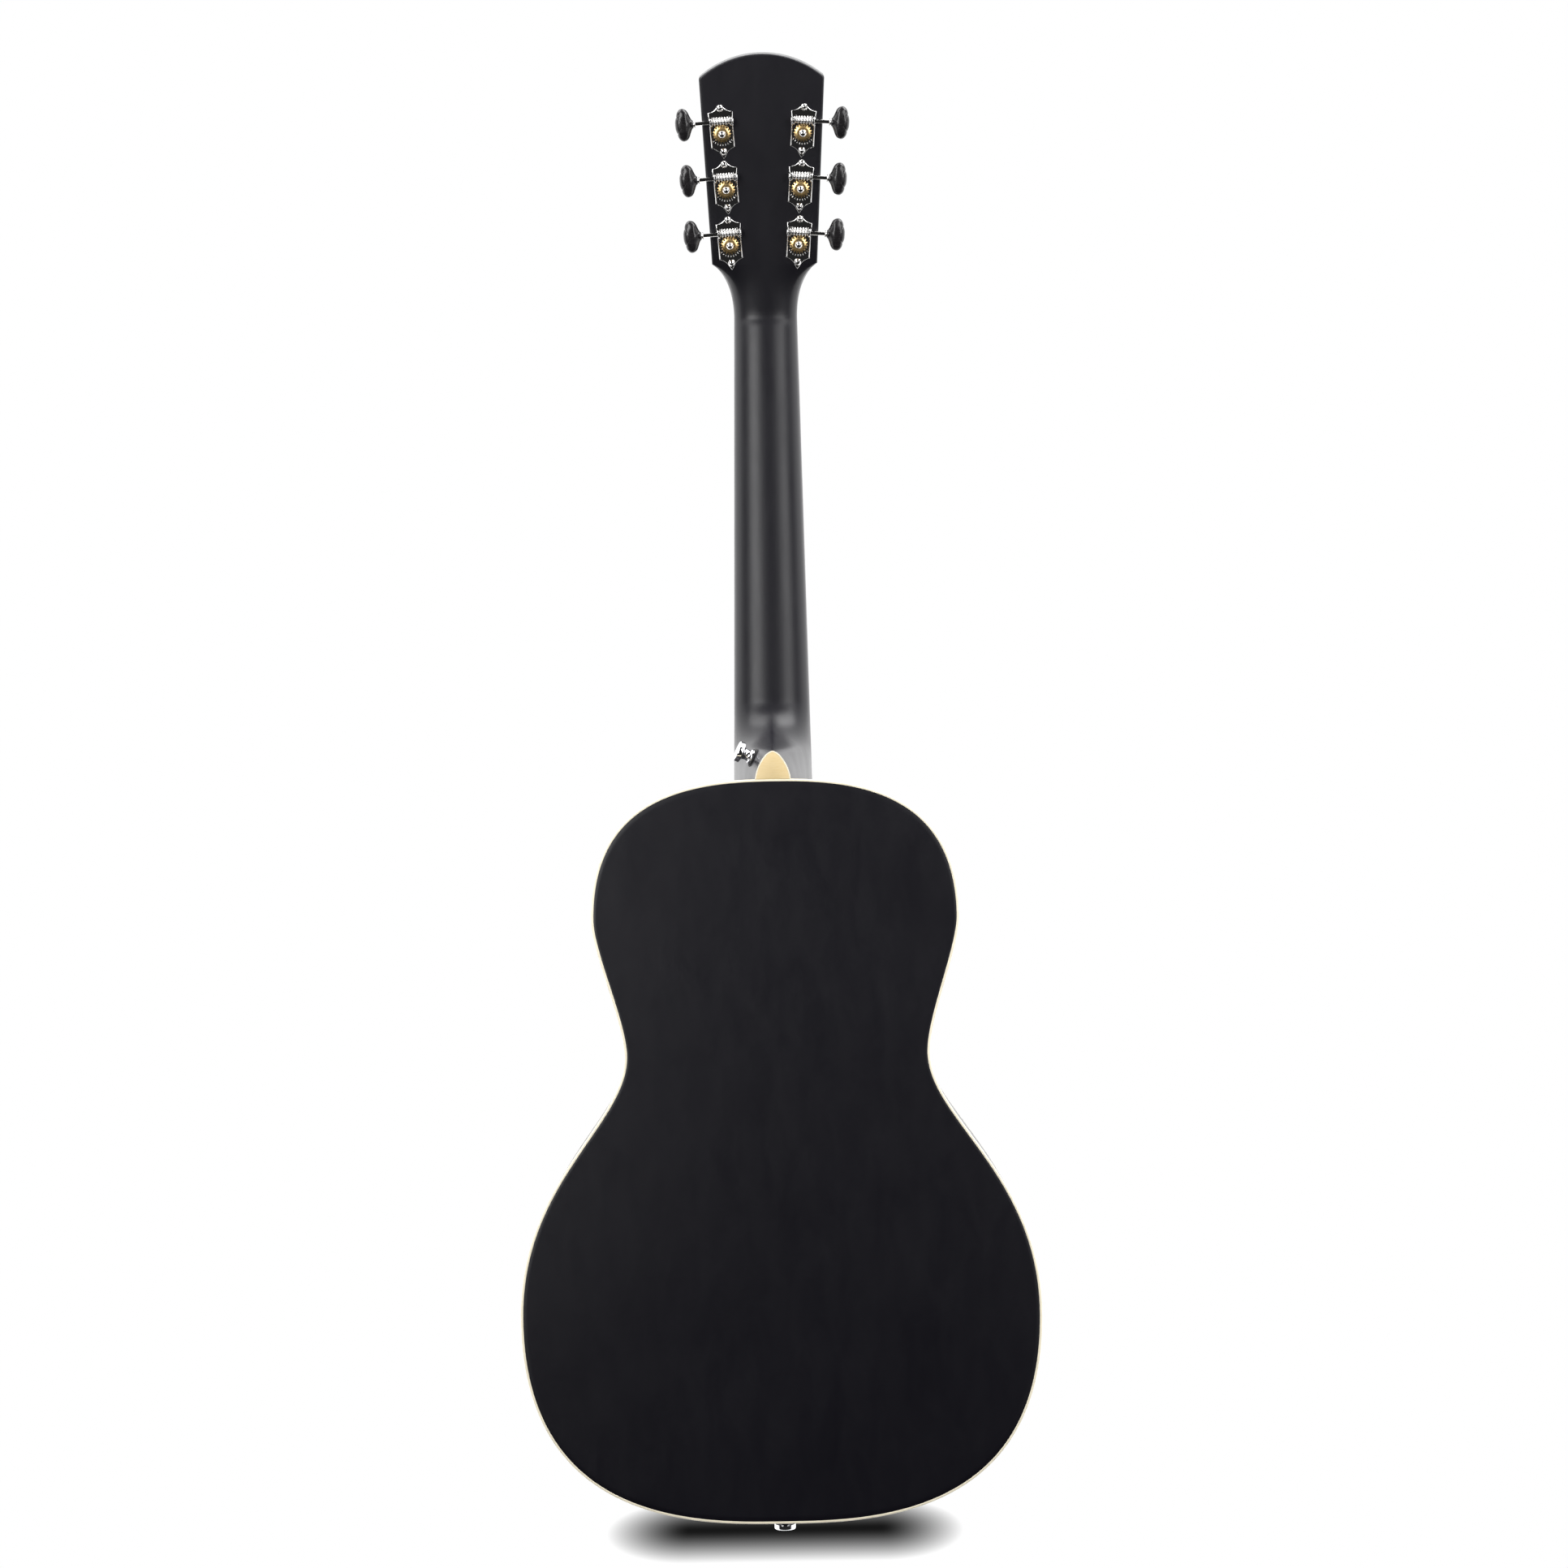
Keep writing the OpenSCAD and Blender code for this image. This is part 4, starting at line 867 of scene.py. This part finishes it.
dots = Shape()
for n, x in ((5, 0), (7, 0), (9, 0), (12, -9), (12, 9), (15, 0)):
    z = (fret_z(n) + fret_z(n - 1)) / 2
    dots.add(*y_disc([(3, -0.9), (3, 0), (2.94, 0.03), (0, 0.03)], x, z, BOARD_Y, 48))
dots.make("marker_dots", PEARL, "position_dots", "bone")

STRING_R = [0.15, 0.2, 0.3, 0.4, 0.53, 0.67]
STRING_MAT = [STEEL] * 2 + [BRONZE] * 4
# height of the middle of the turns over the headstock's face
COIL_MID = 4.2
# string spacing at the bridge and at the nut
PIN_STEP, NUT_STEP = 10.8, 7
STRING_BEND = 1.2


def string_x(n, step):
    return (3.5 - n) * step


nut_y = nut_lo[1]
prof = [(NUT + 0.02, FRONT - 0.02), (NUT + NUT_T, FRONT - 0.02), (NUT + NUT_T, nut_y + 1.5),
        (NUT + 4.2, nut_y + 1.05), (NUT + 0.5, nut_y + 0.02), (NUT + 0.02, nut_y + 0.3)]
cz, cy = np.mean(prof, axis=0)
middle = [(x, 0) for x in np.linspace(1 - NUT_HALF, NUT_HALF - 1, 40)]
loops = []
for x, k in [(-NUT_HALF, 0.35), (0.35 - NUT_HALF, 0)] + middle + [(NUT_HALF - 0.35, 0), (NUT_HALF, 0.35)]:
    loops.append([(x, mix(y, cy, k / 4), mix(z, cz, k / 4)) for z, y in prof])
build("nut_bone", skin(loops), IVORY, "nut", "bone")

# ---- bridge, saddle
b_mid = (bridge_lo[2] + bridge_hi[2]) / 2
b_half = bridge_hi[0]
b_top = -bridge_lo[1]
loops = []
for s in np.linspace(-1, 1, 61):
    x = s * b_half
    wing = ease((abs(x) - 44) / 16)
    h = mix(b_top, -FRONT + 3.6, wing)
    end = sqrt(max(0, 1 - ((abs(s) - 0.985) / 0.015) ** 2)) if abs(s) > 0.985 else 1
    half_w = 13.5 * (0.82 + 0.18 * end)
    h = -FRONT + (h + FRONT) * (0.6 + 0.4 * end)
    r = min(1.4, (h + FRONT) * 0.45)
    left = [(-half_w, -FRONT), (-half_w, h - r)]
    left += [(r - half_w - r * cos(a), h - r + r * sin(a))
             for a in np.linspace(0.2, pi / 2, 5)]
    ring = left + [(-z, y) for z, y in left[::-1]]
    loops.append([(x, -hh, b_mid + zz) for zz, hh in ring])
build("bridge_block", skin(loops), ROSEWOOD, "bridge", "dark_wood")

loops = []
s_half = saddle_hi[0]
for x in np.linspace(-s_half, s_half, 49):
    e = sqrt(max(0, 1 - (abs(x) / s_half) ** 14))
    top = mix(b_top - 1, -saddle_lo[1], e)
    ring = [(-1.3, b_top - 3)] + [(-1.3 * cos(a), top - 1.3 * e + 1.3 * e * sin(a))
                                  for a in np.linspace(0, pi, 9)] + [(1.3, b_top - 3)]
    loops.append([(x, -hh, SADDLE + zz) for zz, hh in ring])
build("saddle_bone", skin(loops), IVORY, "saddle", "bone")

pin_lo, pin_hi = mm_box("bridge_pins")
PIN_Z = (pin_lo[2] + pin_hi[2]) / 2
pins, pin_dots = Shape(), Shape()
for n in range(1, 7):
    x = string_x(n, PIN_STEP)
    prof = [(0, -17.9), (1.9, -17.5), (2.38, -4), (2.38, 0.05), (3, 0.1), (3.55, 0.45), (3.6, 0.9)]
    prof += [(3.6 * cos(a), 0.9 + 2 * sin(a)) for a in np.linspace(0.15, 1.25, 7)]
    prof += [(0.9, 2.86), (0, 2.86)]
    pins.add(*y_disc(prof, x, PIN_Z, -b_top, 32))
    pin_dots.add(*y_disc([(0, 2.8), (0.85, 2.8), (0.85, 2.9), (0.6, 2.98), (0, 3)], x, PIN_Z, -b_top, 24))
pins.make("bridge_pin_set", IVORY, "bridge_pins", "bone")
pin_dots.make("bridge_pin_dots", BUTTON, "bridge_pins", "bone")

# ---- tuners
WORM_T, WORM_P = 8.25, 4.8
GEAR_T, TEETH = 2.8, 18
PITCH, CORE, THROW, WORM_HALF = 1.95, 2.4, 0.6, 5.6
EAR_IN, EAR_OUT = 5.8, 7.3


def rank(n):
    return n - 1 if n < 4 else 6 - n


def placer(n, ds=0, dt=0, dp=0):
    """Maps local (outward, to the tip, out of the back) to the shared frame, from post n."""
    post, knob = joints[f"post_{n}_turn"], joints[f"knob_{n}_turn"]
    o = np.array(post["pos_m"]) / MM
    s = np.array(knob["axis"], float)
    p = np.array(post["axis"], float)
    t = np.cross(s, p)
    t = -t if t[2] < 0 else t
    return lambda q: o + (q[0] + ds) * s + (q[1] + dt) * t + (q[2] + dp) * p


def dome_screw(r, h, slot_w=0.62, angle=0):
    """Round-headed screw with a straight slot, standing on its base plane."""
    big = (r * r + h * h) / (2 * h)
    prof = [(r * 0.92, -0.15), (r, 0)]
    a1 = asin(min(1, r / big))
    prof += [(big * sin(a), h - big + big * cos(a)) for a in np.linspace(a1, 0, 10)[1:-1]]
    verts, faces = lathe([(0, -0.15)] + prof + [(0, h)], 36)
    shape = Shape()
    me = bpy.data.meshes.new("tmp")
    me.from_pydata(verts, [], faces)
    for sign in (1, -1):
        bm = bmesh.new()
        bm.from_mesh(me)
        geom = bm.verts[:] + bm.edges[:] + bm.faces[:]
        cut = bmesh.ops.bisect_plane(bm, geom=geom, plane_co=(0, sign * slot_w / 2, 0),
                                     plane_no=(0, -sign, 0), clear_outer=True)
        edges = [e for e in cut["geom_cut"] if isinstance(e, bmesh.types.BMEdge)]
        bmesh.ops.contextual_create(bm, geom=edges)
        shape.add([tuple(x.co) for x in bm.verts], [[x.index for x in q.verts] for q in bm.faces])
        bm.free()
    bpy.data.meshes.remove(me)
    reach = r * 0.93
    floor = [(-reach, -slot_w / 2), (reach, -slot_w / 2), (reach, slot_w / 2), (-reach, slot_w / 2)]
    shape.add(*slab(floor, -0.12, 0.17 * h, 0, 0))
    c, sn = cos(angle), sin(angle)
    return [(c * x - sn * y, sn * x + c * y, z) for x, y, z in shape.v], shape.f


PLATE = [(0, -16.9), (0.7, -16), (1.4, -14.9), (2.3, -13.3), (3.3, -11.9), (4.7, -10.8), (6.4, -9.9),
         (8.2, -9.2), (8.15, -7), (8.1, -3), (8.05, 2), (8, 6), (8.15, 10), (8.6, 14.3), (7, 14.55),
         (5.4, 15), (4, 15.8), (2.8, 16.9), (1.6, 18.3), (0.8, 19.1), (0, 19.4)]


def gear_outline():
    """Toothed outline with a gap in the middle of the side that meets the worm."""
    tooth = [(-0.62, 4.98), (-0.46, 5.08), (-0.33, 5.55), (-0.23, 6), (-0.12, 6.15),
             (0.12, 6.15), (0.23, 6), (0.33, 5.55), (0.46, 5.08), (0.62, 4.98)]
    pts = []
    for i in range(TEETH):
        mid = 2 * pi * (i + 0.5) / TEETH + pi / 2
        c, s = cos(mid), sin(mid)
        pts += [(r * c + x * s, r * s - x * c) for x, r in tooth]
    return ccw(pts)


def gear_body():
    """Toothed wheel with a slightly domed web and a bevelled toothed rim."""
    outline = gear_outline()
    radius = np.linalg.norm(outline, axis=1)
    top, bottom = WORM_P + GEAR_T / 2, WORM_P - GEAR_T / 2
    loops = []
    rings = [(2, -1), (4.4, -1), (9, -1)]
    rings += [(r, 1) for r in (9, 5.9, 5.55, 5.2, 4.9, 4.5, 4.1, 3.6, 3.1, 2.6, 2)]
    for ring, side in rings:
        r = np.minimum(radius, ring)
        pts = outline * (r / radius)[:, None]
        if side < 0:
            z = bottom + 0.15 * np.clip((r - 5) / 1.15, 0, 1)
        else:
            z = top - 0.025 * (r / 4) ** 4 - 0.34 * np.clip(r - 4.1, 0, 5)
        loops.append([(x, y, h) for (x, y), h in zip(pts, z)])
    return skin(loops)


# Half outline of a button: half length against distance from the ferrule.
BEAN = [(2.6, 0), (2.9, 0.6), (4.2, 1.35), (6.2, 2.15), (8.2, 2.95), (9.7, 4), (10.55, 5.3),
        (10.9, 6.8), (10.6, 8.2), (9.6, 9.4), (8.2, 10.3), (6.3, 10.85), (5.5, 10.75), (4.8, 11.25),
        (2.6, 11.9), (0, 12.05)]
BEAN_HALF = 4


def bean_button():
    """Bean-shaped button; local axes are outward, along the headstock, out of the back."""
    half = smooth_line(BEAN, 5)
    out = ccw([(d, t) for t, d in half] + [(d, -t) for t, d in half[-2::-1]])
    c = np.array([6.4, 0])
    rings = [(1, 0)] + [(cos(a) ** 0.62, sin(a) ** 0.9) for a in np.linspace(0.1, 1.45, 13)]
    upper = []
    for r, h in rings:
        row = []
        for x, y in c + (out - c) * r:
            neck_in = mix(0.62, 1, ease(x / 5))
            wave = 1 - 0.13 * exp(-((abs(y) - 7.3) / 1.2) ** 2) * ease((x - 5) / 4)
            row.append((x, y, max(BEAN_HALF * h * neck_in * wave, 0)))
        upper.append(row)
    lower = [[(x, y, -z) for x, y, z in row] for row in upper[::-1]]
    verts, faces = skin(lower + upper[1:], caps=False)
    last = len(verts) - len(out)
    for first, z in ((0, -BEAN_HALF), (last, BEAN_HALF)):
        fan(verts, faces, first, len(out), (c[0], c[1], z))
    prof = [(0, 0.05), (2.35, 0.05), (2.6, 0.3), (2.62, 1.2), (2.75, 2.2), (2.4, 4.5), (0, 5)]
    stem, quads = lathe(prof, 40)
    return Shape().add(verts, faces).add([(h, a, b) for a, b, h in stem], quads)


def worm_thread():
    turns = 2 * WORM_HALF / PITCH
    around, along = 48, int(turns * 26)
    loops = []
    for i in range(along + 1):
        s = -WORM_HALF + 2 * WORM_HALF * i / along
        k = ease((WORM_HALF - abs(s)) / 0.5)
        ring = []
        for j in range(around):
            a = 2 * pi * j / around
            crest = -pi / 2 + 2 * pi * s / PITCH
            r = mix(1.6, CORE + THROW * cos(a - crest), k)
            ring.append((s, r * sin(a), r * cos(a)))
        loops.append(ring)
    return skin(loops)


def ear(s0, s1):
    """Folded ear with a rounded top; local axes as for the plate."""
    pts = [(WORM_T + 3, 0.6)] + [(WORM_T + 3.15 * cos(a), WORM_P + 3.15 * sin(a))
                                  for a in np.linspace(0, pi, 19)] + [(WORM_T - 3, 0.6)]
    vv, ff = slab(pts, s0, s1, 0.28, 0.28, 3)
    return [(z, x, y) for x, y, z in vv], ff


def ridge_bar(a, b, width, low, high):
    """Raised rib along a line on the plate, with two sloping sides and sloping ends."""
    a, b = np.array(a, float), np.array(b, float)
    d = unit(b - a)
    side = np.array([-d[1], d[0]]) * width / 2
    loops = []
    for lift, shrink, run in ((0, 1, 0), (0.5, 0.66, 0.06), (0.85, 0.34, 0.15), (1, 0.1, 0.26)):
        h = mix(low, high, lift)
        ring = [a - side * shrink + d * run, b - side * shrink - d * run,
                b + side * shrink - d * run, a + side * shrink + d * run]
        loops.append([(x, y, h) for x, y in ring])
    return skin(loops)


BUTTON_IN, FERRULE_IN = 18.6, 17.2
DOME_W, DOME_H = 2.6, 1.55
head_front = HEAD_T + OVER_T
for n in range(1, 7):
    knob, post = f"knob_{n}", f"post_{n}"
    at = placer(n)
    plate = Shape()
    plate.add(*slab(mirror_outline(PLATE), 0.02, 1, top=0.5, bottom=0, top_w=0.62), at)
    for s0, s1 in ((-EAR_OUT, -EAR_IN), (EAR_IN, EAR_OUT)):
        plate.add(*ear(s0, s1), at)
    for sg in (-1, 1):
        plate.add(*ridge_bar((sg * 7.55, -8.9), (sg * 7.5, 5.2), 1.15, 1, 1.7), at)
    for k in range(9):
        a = radians(217 + 106 / 8 * k)
        way = np.array([cos(a), sin(a)])
        plate.add(*ridge_bar(6.9 * way, 8.2 * way, 0.62, 0.98, 1.3), at)
    plate.make(f"tuner_plate_{n}", NICKEL, "tuner_plates", "polished_nickel")

    screws = Shape()
    for t, a in ((16.9, 0.9 + 0.7 * n), (-12.1, 0.25 + 1.1 * n)):
        screws.add(*dome_screw(2.35, 1.35, angle=a), placer(n, dt=t, dp=1.02))
    screws.make(f"plate_screws_{n}", NICKEL, "screws", "polished_nickel")

    Shape().add(*gear_body(), at).make(
        f"tuner_gear_{n}", BRASS, f"gear_{n}", "gear_brass", body=post, sharp=40)

    shaft = Shape()
    prof = [(0, 1.42 - WORM_P), (2.95, 1.42 - WORM_P), (2.98, 1.5 - WORM_P)]
    prof += [(r, head_front + h) for r, h in ((2.98, 7.6), (2.7, 8.4), (2.55, 9.6), (2.7, 10.6), (2.98, 11.2),
                                              (2.75, 11.75), (2.3, 12), (0, 12))]
    v, f = lathe(prof, 40)
    shaft.add([(a, b, -h) for a, b, h in v], f, at)
    # domed end of the post over the gear, part of a sphere
    big = (DOME_W ** 2 + DOME_H ** 2) / (2 * DOME_H)
    prof = [(0, -0.1), (DOME_W - 0.1, -0.1), (DOME_W, 0)]
    prof += [(big * sin(a), DOME_H - big + big * cos(a)) for a in np.linspace(0.95, 0, 14)[1:]]
    shaft.add(*lathe(prof, 40), placer(n, dp=WORM_P + GEAR_T / 2 - 0.02))
    shaft.make(f"post_shaft_{n}", NICKEL, f"string_post_{n}", "polished_nickel", body=post)

    v, f = lathe([(3.08, -8.8), (4, -8.8), (4, 0.02), (5.4, 0.02), (5.4, 0.5), (5.1, 0.85), (4.6, 1),
                  (3.3, 1), (3.08, 0.8), (3.08, -8.8)], 48)
    Shape().add([(a, b, -h) for a, b, h in v], f, placer(n, dp=-head_front)).make(
        f"post_bushing_{n}", NICKEL, "tuner_bushings", "polished_nickel")

    worm = Shape()
    worm.add(*worm_thread(), placer(n, dt=WORM_T, dp=WORM_P))
    prof = [(0, -EAR_OUT - 1.1), (1.9, -EAR_OUT - 1.1), (2.2, -EAR_OUT - 0.8), (2.2, -EAR_OUT - 0.1),
            (1.5, -EAR_OUT - 0.1), (1.5, FERRULE_IN), (2.2, FERRULE_IN), (2.5, FERRULE_IN + 0.3),
            (2.5, BUTTON_IN - 0.3), (2.3, BUTTON_IN - 0.02), (1.5, BUTTON_IN - 0.02), (1.5, 24), (0, 24)]
    v, f = lathe(prof, 36)
    worm.add([(h, a, b) for a, b, h in v], f, placer(n, dt=WORM_T, dp=WORM_P))
    worm.make(f"tuner_worm_{n}", NICKEL, f"worm_shaft_{n}", "polished_nickel", body=knob, sharp=60)

    bean = bean_button()
    Shape().add(bean.v, bean.f, placer(n, ds=BUTTON_IN, dt=WORM_T, dp=WORM_P)).make(
        f"bean_button_{n}", BUTTON, f"tuner_button_{n}", "button_plastic", body=knob, sharp=60)

    # wound turns of string on the post
    r = STRING_R[n - 1]
    rc = 3.06 + r
    turns, around = 4, 30
    path = []
    for k in range(turns * around + 1):
        a = 2 * pi * k / around
        rise = r + 2 * r * (turns - 1) * k / (turns * around)
        path.append((rc * cos(a), rc * sin(a), -(head_front + COIL_MID - turns * r + rise)))
    Shape().add(*tube(path, r, 8), at).make(
        f"coil_turns_{n}", STRING_MAT[n - 1], f"string_coil_{n}", "wound_string", body=post)


# ---- strings
def string_path(n):
    r = STRING_R[n - 1]
    side = 1 if n < 4 else -1
    end = (string_x(n, PIN_STEP), bridge_lo[1] - r - 0.1, PIN_Z + 3.6 + r + 0.1)
    sad = (string_x(n, PIN_STEP), saddle_lo[1] - 1.15 * r - 0.02, SADDLE)
    nut = (string_x(n, NUT_STEP), BOARD_Y - 1.2 - r, NUT)
    x = side * (POST_X[rank(n)] - (3.06 + r) - 2 * r - 0.12)
    post = head_point((x, POST_U[rank(n)], OVER_T + COIL_MID))
    pts = [np.array(q, float) for q in (end, sad, nut, post)]
    path = [pts[0]]
    for i in (1, 2):
        # rounded bend over the saddle and the nut
        a = pts[i] + unit(pts[i - 1] - pts[i]) * STRING_BEND
        b = pts[i] + unit(pts[i + 1] - pts[i]) * STRING_BEND
        path += [(1 - t) ** 2 * a + 2 * t * (1 - t) * pts[i] + t * t * b for t in (0, 0.25, 0.5, 0.75, 1)]
    return path + [pts[3]]


for n in range(1, 7):
    build(f"string_{n}", tube(string_path(n), STRING_R[n - 1]), STRING_MAT[n - 1], "strings", "string_wire")

# ---- strap buttons
FELT_T, STRAP_L = 2, 11
mount = {m["name"]: m for m in record["mounts"]}
for name, tag in (("end_strap_button", "tail"), ("heel_strap_button", "heel")):
    centre = np.array(mount[name]["pos_m"]) / MM
    axis = np.array(mount[name]["axis"], float)
    base = centre - axis * (STRAP_L - FELT_T)
    e1 = unit(np.cross([0, 1, 0], axis))
    e2 = np.cross(axis, e1)

    def place(q):
        return base + q[0] * e1 + q[1] * e2 + q[2] * axis

    waist = [(4.9, 1.4), (4.1, 2.3), (3.65, 3.5), (3.6, 4.6), (3.9, 5.6), (4.8, 6.5), (6.2, 7)]
    prof = [(2, 0), (5, 0), (5.3, 0.25), (5.25, 0.8)]
    prof += smooth_line(waist, 4)
    prof += arc(6.2, 7.8, 0.8, -90, 0, 4) + arc(5.9, 9.9, 1.1, 0, 90, 5)
    prof += [(4.3, 11), (4, 10.85), (2.2, 9), (2, 8.8), (2, 0)]
    Shape().add(*lathe(prof, 72), place).make(
        f"strap_button_{tag}", CHROME, "strap_buttons", "polished_nickel")
    prof = [(0, -3), (1.9, -3), (1.9, 8.9), (3.75, 10.7), (3.72, 10.8), (0, 10.85)]
    Shape().add(*lathe(prof, 40), place).make(
        f"strap_screw_{tag}", NICKEL, "screws", "polished_nickel")
    prof = [(2, 0.05 - FELT_T), (6.4, 0.05 - FELT_T)] + arc(6.1, -FELT_T / 2, 0.62, -60, 60, 6)
    prof += [(6.3, -0.03), (2, -0.03), (2, 0.05 - FELT_T)]
    Shape().add(*lathe(prof, 64), place).make(
        f"felt_washer_{tag}", FELT, "strap_washers", "black_felt")

cover_screws = Shape()
for x, u, a in ((0, 33, 0.3), (-6.2, 12, 1.2), (6.2, 12, 2.3)):
    cover_screws.add(*dome_screw(1.65, 0.9, 0.45, a),
                     lambda p: head_point((x + p[0], u + p[1], OVER_T + 1.52 + p[2])))
cover_screws.make("cover_screws", NICKEL, "screws", "polished_nickel")

# ---- CAD nodes shown as packed
for node, mat in {"linings": INNER, "neck_block": MAHOGANY, "tail_block": MAHOGANY, "top_braces": INNER,
                  "back_braces": INNER, "truss_rod": STEEL}.items():
    ob = frame["nodes"][node]
    ob.data.materials.clear()
    ob.data.materials.append(mat)

# ---- stage
FLOOR = -2.2
SHADOW_HALF, SHADOW_REACH = 63, 111
scene = bpy.context.scene
me = bpy.data.meshes.new("floor")
corners = ((-3, -2.2), (3, -2.2), (3, 2.2), (-3, 2.2))
me.from_pydata([(x, y, FLOOR * MM) for x, y in corners], [], [(0, 1, 2, 3)])
floor = new_object("floor", me)
m = Nodes("floor_white")
spot = m.new("SeparateXYZ")
m.link(m.new("NewGeometry").outputs["Position"], spot.inputs[0])
# soft shadow round the line where the rounded tail hangs just above the floor
past = m.math("SUBTRACT", m.math("ABSOLUTE", spot.outputs["X"]), SHADOW_HALF * MM)
past = m.math("MULTIPLY", m.math("MAXIMUM", past, 0), 2)
far = m.math("ADD", m.math("POWER", past, 2), m.math("POWER", spot.outputs["Y"], 2))
fade = m.math("MINIMUM", m.math("DIVIDE", m.math("SQRT", far), SHADOW_REACH * MM), 1)
shade = m.new("CombineColor")
for channel in range(3):
    m.link(m.math("MULTIPLY_ADD", m.math("POWER", fade, 2.2), 0.991, 0.009), shade.inputs[channel])
em = m.new("Emission")
em.inputs["Strength"].default_value = 1
m.link(shade.outputs["Color"], em.inputs["Color"])
m.link(em.outputs[0], m.out.inputs["Surface"])
me.materials.append(m.mat)
for ray in ("glossy", "diffuse", "shadow"):
    setattr(floor, "visible_" + ray, False)


def softbox(name, loc, target, w, h, power):
    d = bpy.data.lights.new(name, "AREA")
    d.shape = "RECTANGLE"
    d.size, d.size_y = w, h
    d.energy = power
    o = new_object(name, d)
    o.location = loc
    o.rotation_euler = (Vector(target) - Vector(loc)).to_track_quat("-Z", "Y").to_euler()
    o.visible_camera = False


aim = (0, 0, 0.5)
softbox("side_left", (1.4, 2.4, 1), aim, 1.15, 1.9, 40)
softbox("side_right", (-1.6, 2.25, 1), aim, 1.1, 1.9, 27)
softbox("high_left", (1.15, 0.45, 2.25), aim, 1.25, 1.7, 34)
softbox("high_right", (-1.1, 0.45, 2.25), aim, 1.3, 1.7, 52)

scene.world = bpy.data.worlds.new("studio")
w = Nodes("studio", scene.world)
way = w.new("SeparateXYZ")
w.link(w.coord.outputs["Generated"], way.inputs[0])
turn = w.math("MULTIPLY_ADD", w.math("MULTIPLY", way.outputs["X"], way.outputs["X"]), -0.5, way.outputs["Y"])
dim, white = w.new("Background"), w.new("Background")
for light in (dim, white):
    light.inputs["Color"].default_value = (1, 1, 1, 1)
# dark room behind the camera and above, bright backdrop behind the guitar and to its sides
w.link(w.span(turn, 0.07, -0.43, 0.022, 1.9), dim.inputs["Strength"])
pick = w.new("MixShader")
seen = w.new("LightPath").outputs["Is Camera Ray"]
for end, socket in zip(pick.inputs, (seen, dim.outputs[0], white.outputs[0])):
    w.link(socket, end)
w.link(pick.outputs[0], w.out.inputs["Surface"])

scene.view_settings.view_transform = "Standard"
scene.view_settings.look = "None"

# ---- camera
# distance from the plane through the body, and the width the picture shows there
DIST, VIEW_W = 2600, 1028
BACK_Y = 45
cam_data = bpy.data.cameras.new("camera")
cam_data.sensor_width = 36
cam_data.lens = cam_data.sensor_width * DIST / VIEW_W
camera = new_object("camera", cam_data)
camera.location = (-7.3 * MM, (BACK_Y + DIST) * MM, 494.7 * MM)
roll = radians(-0.94)
upright = Matrix(((-1, 0, 0), (0, 0, 1), (0, 1, 0)))
camera.rotation_euler = (Matrix.Rotation(roll, 3, "Y") @ upright).to_euler()
scene.camera = camera
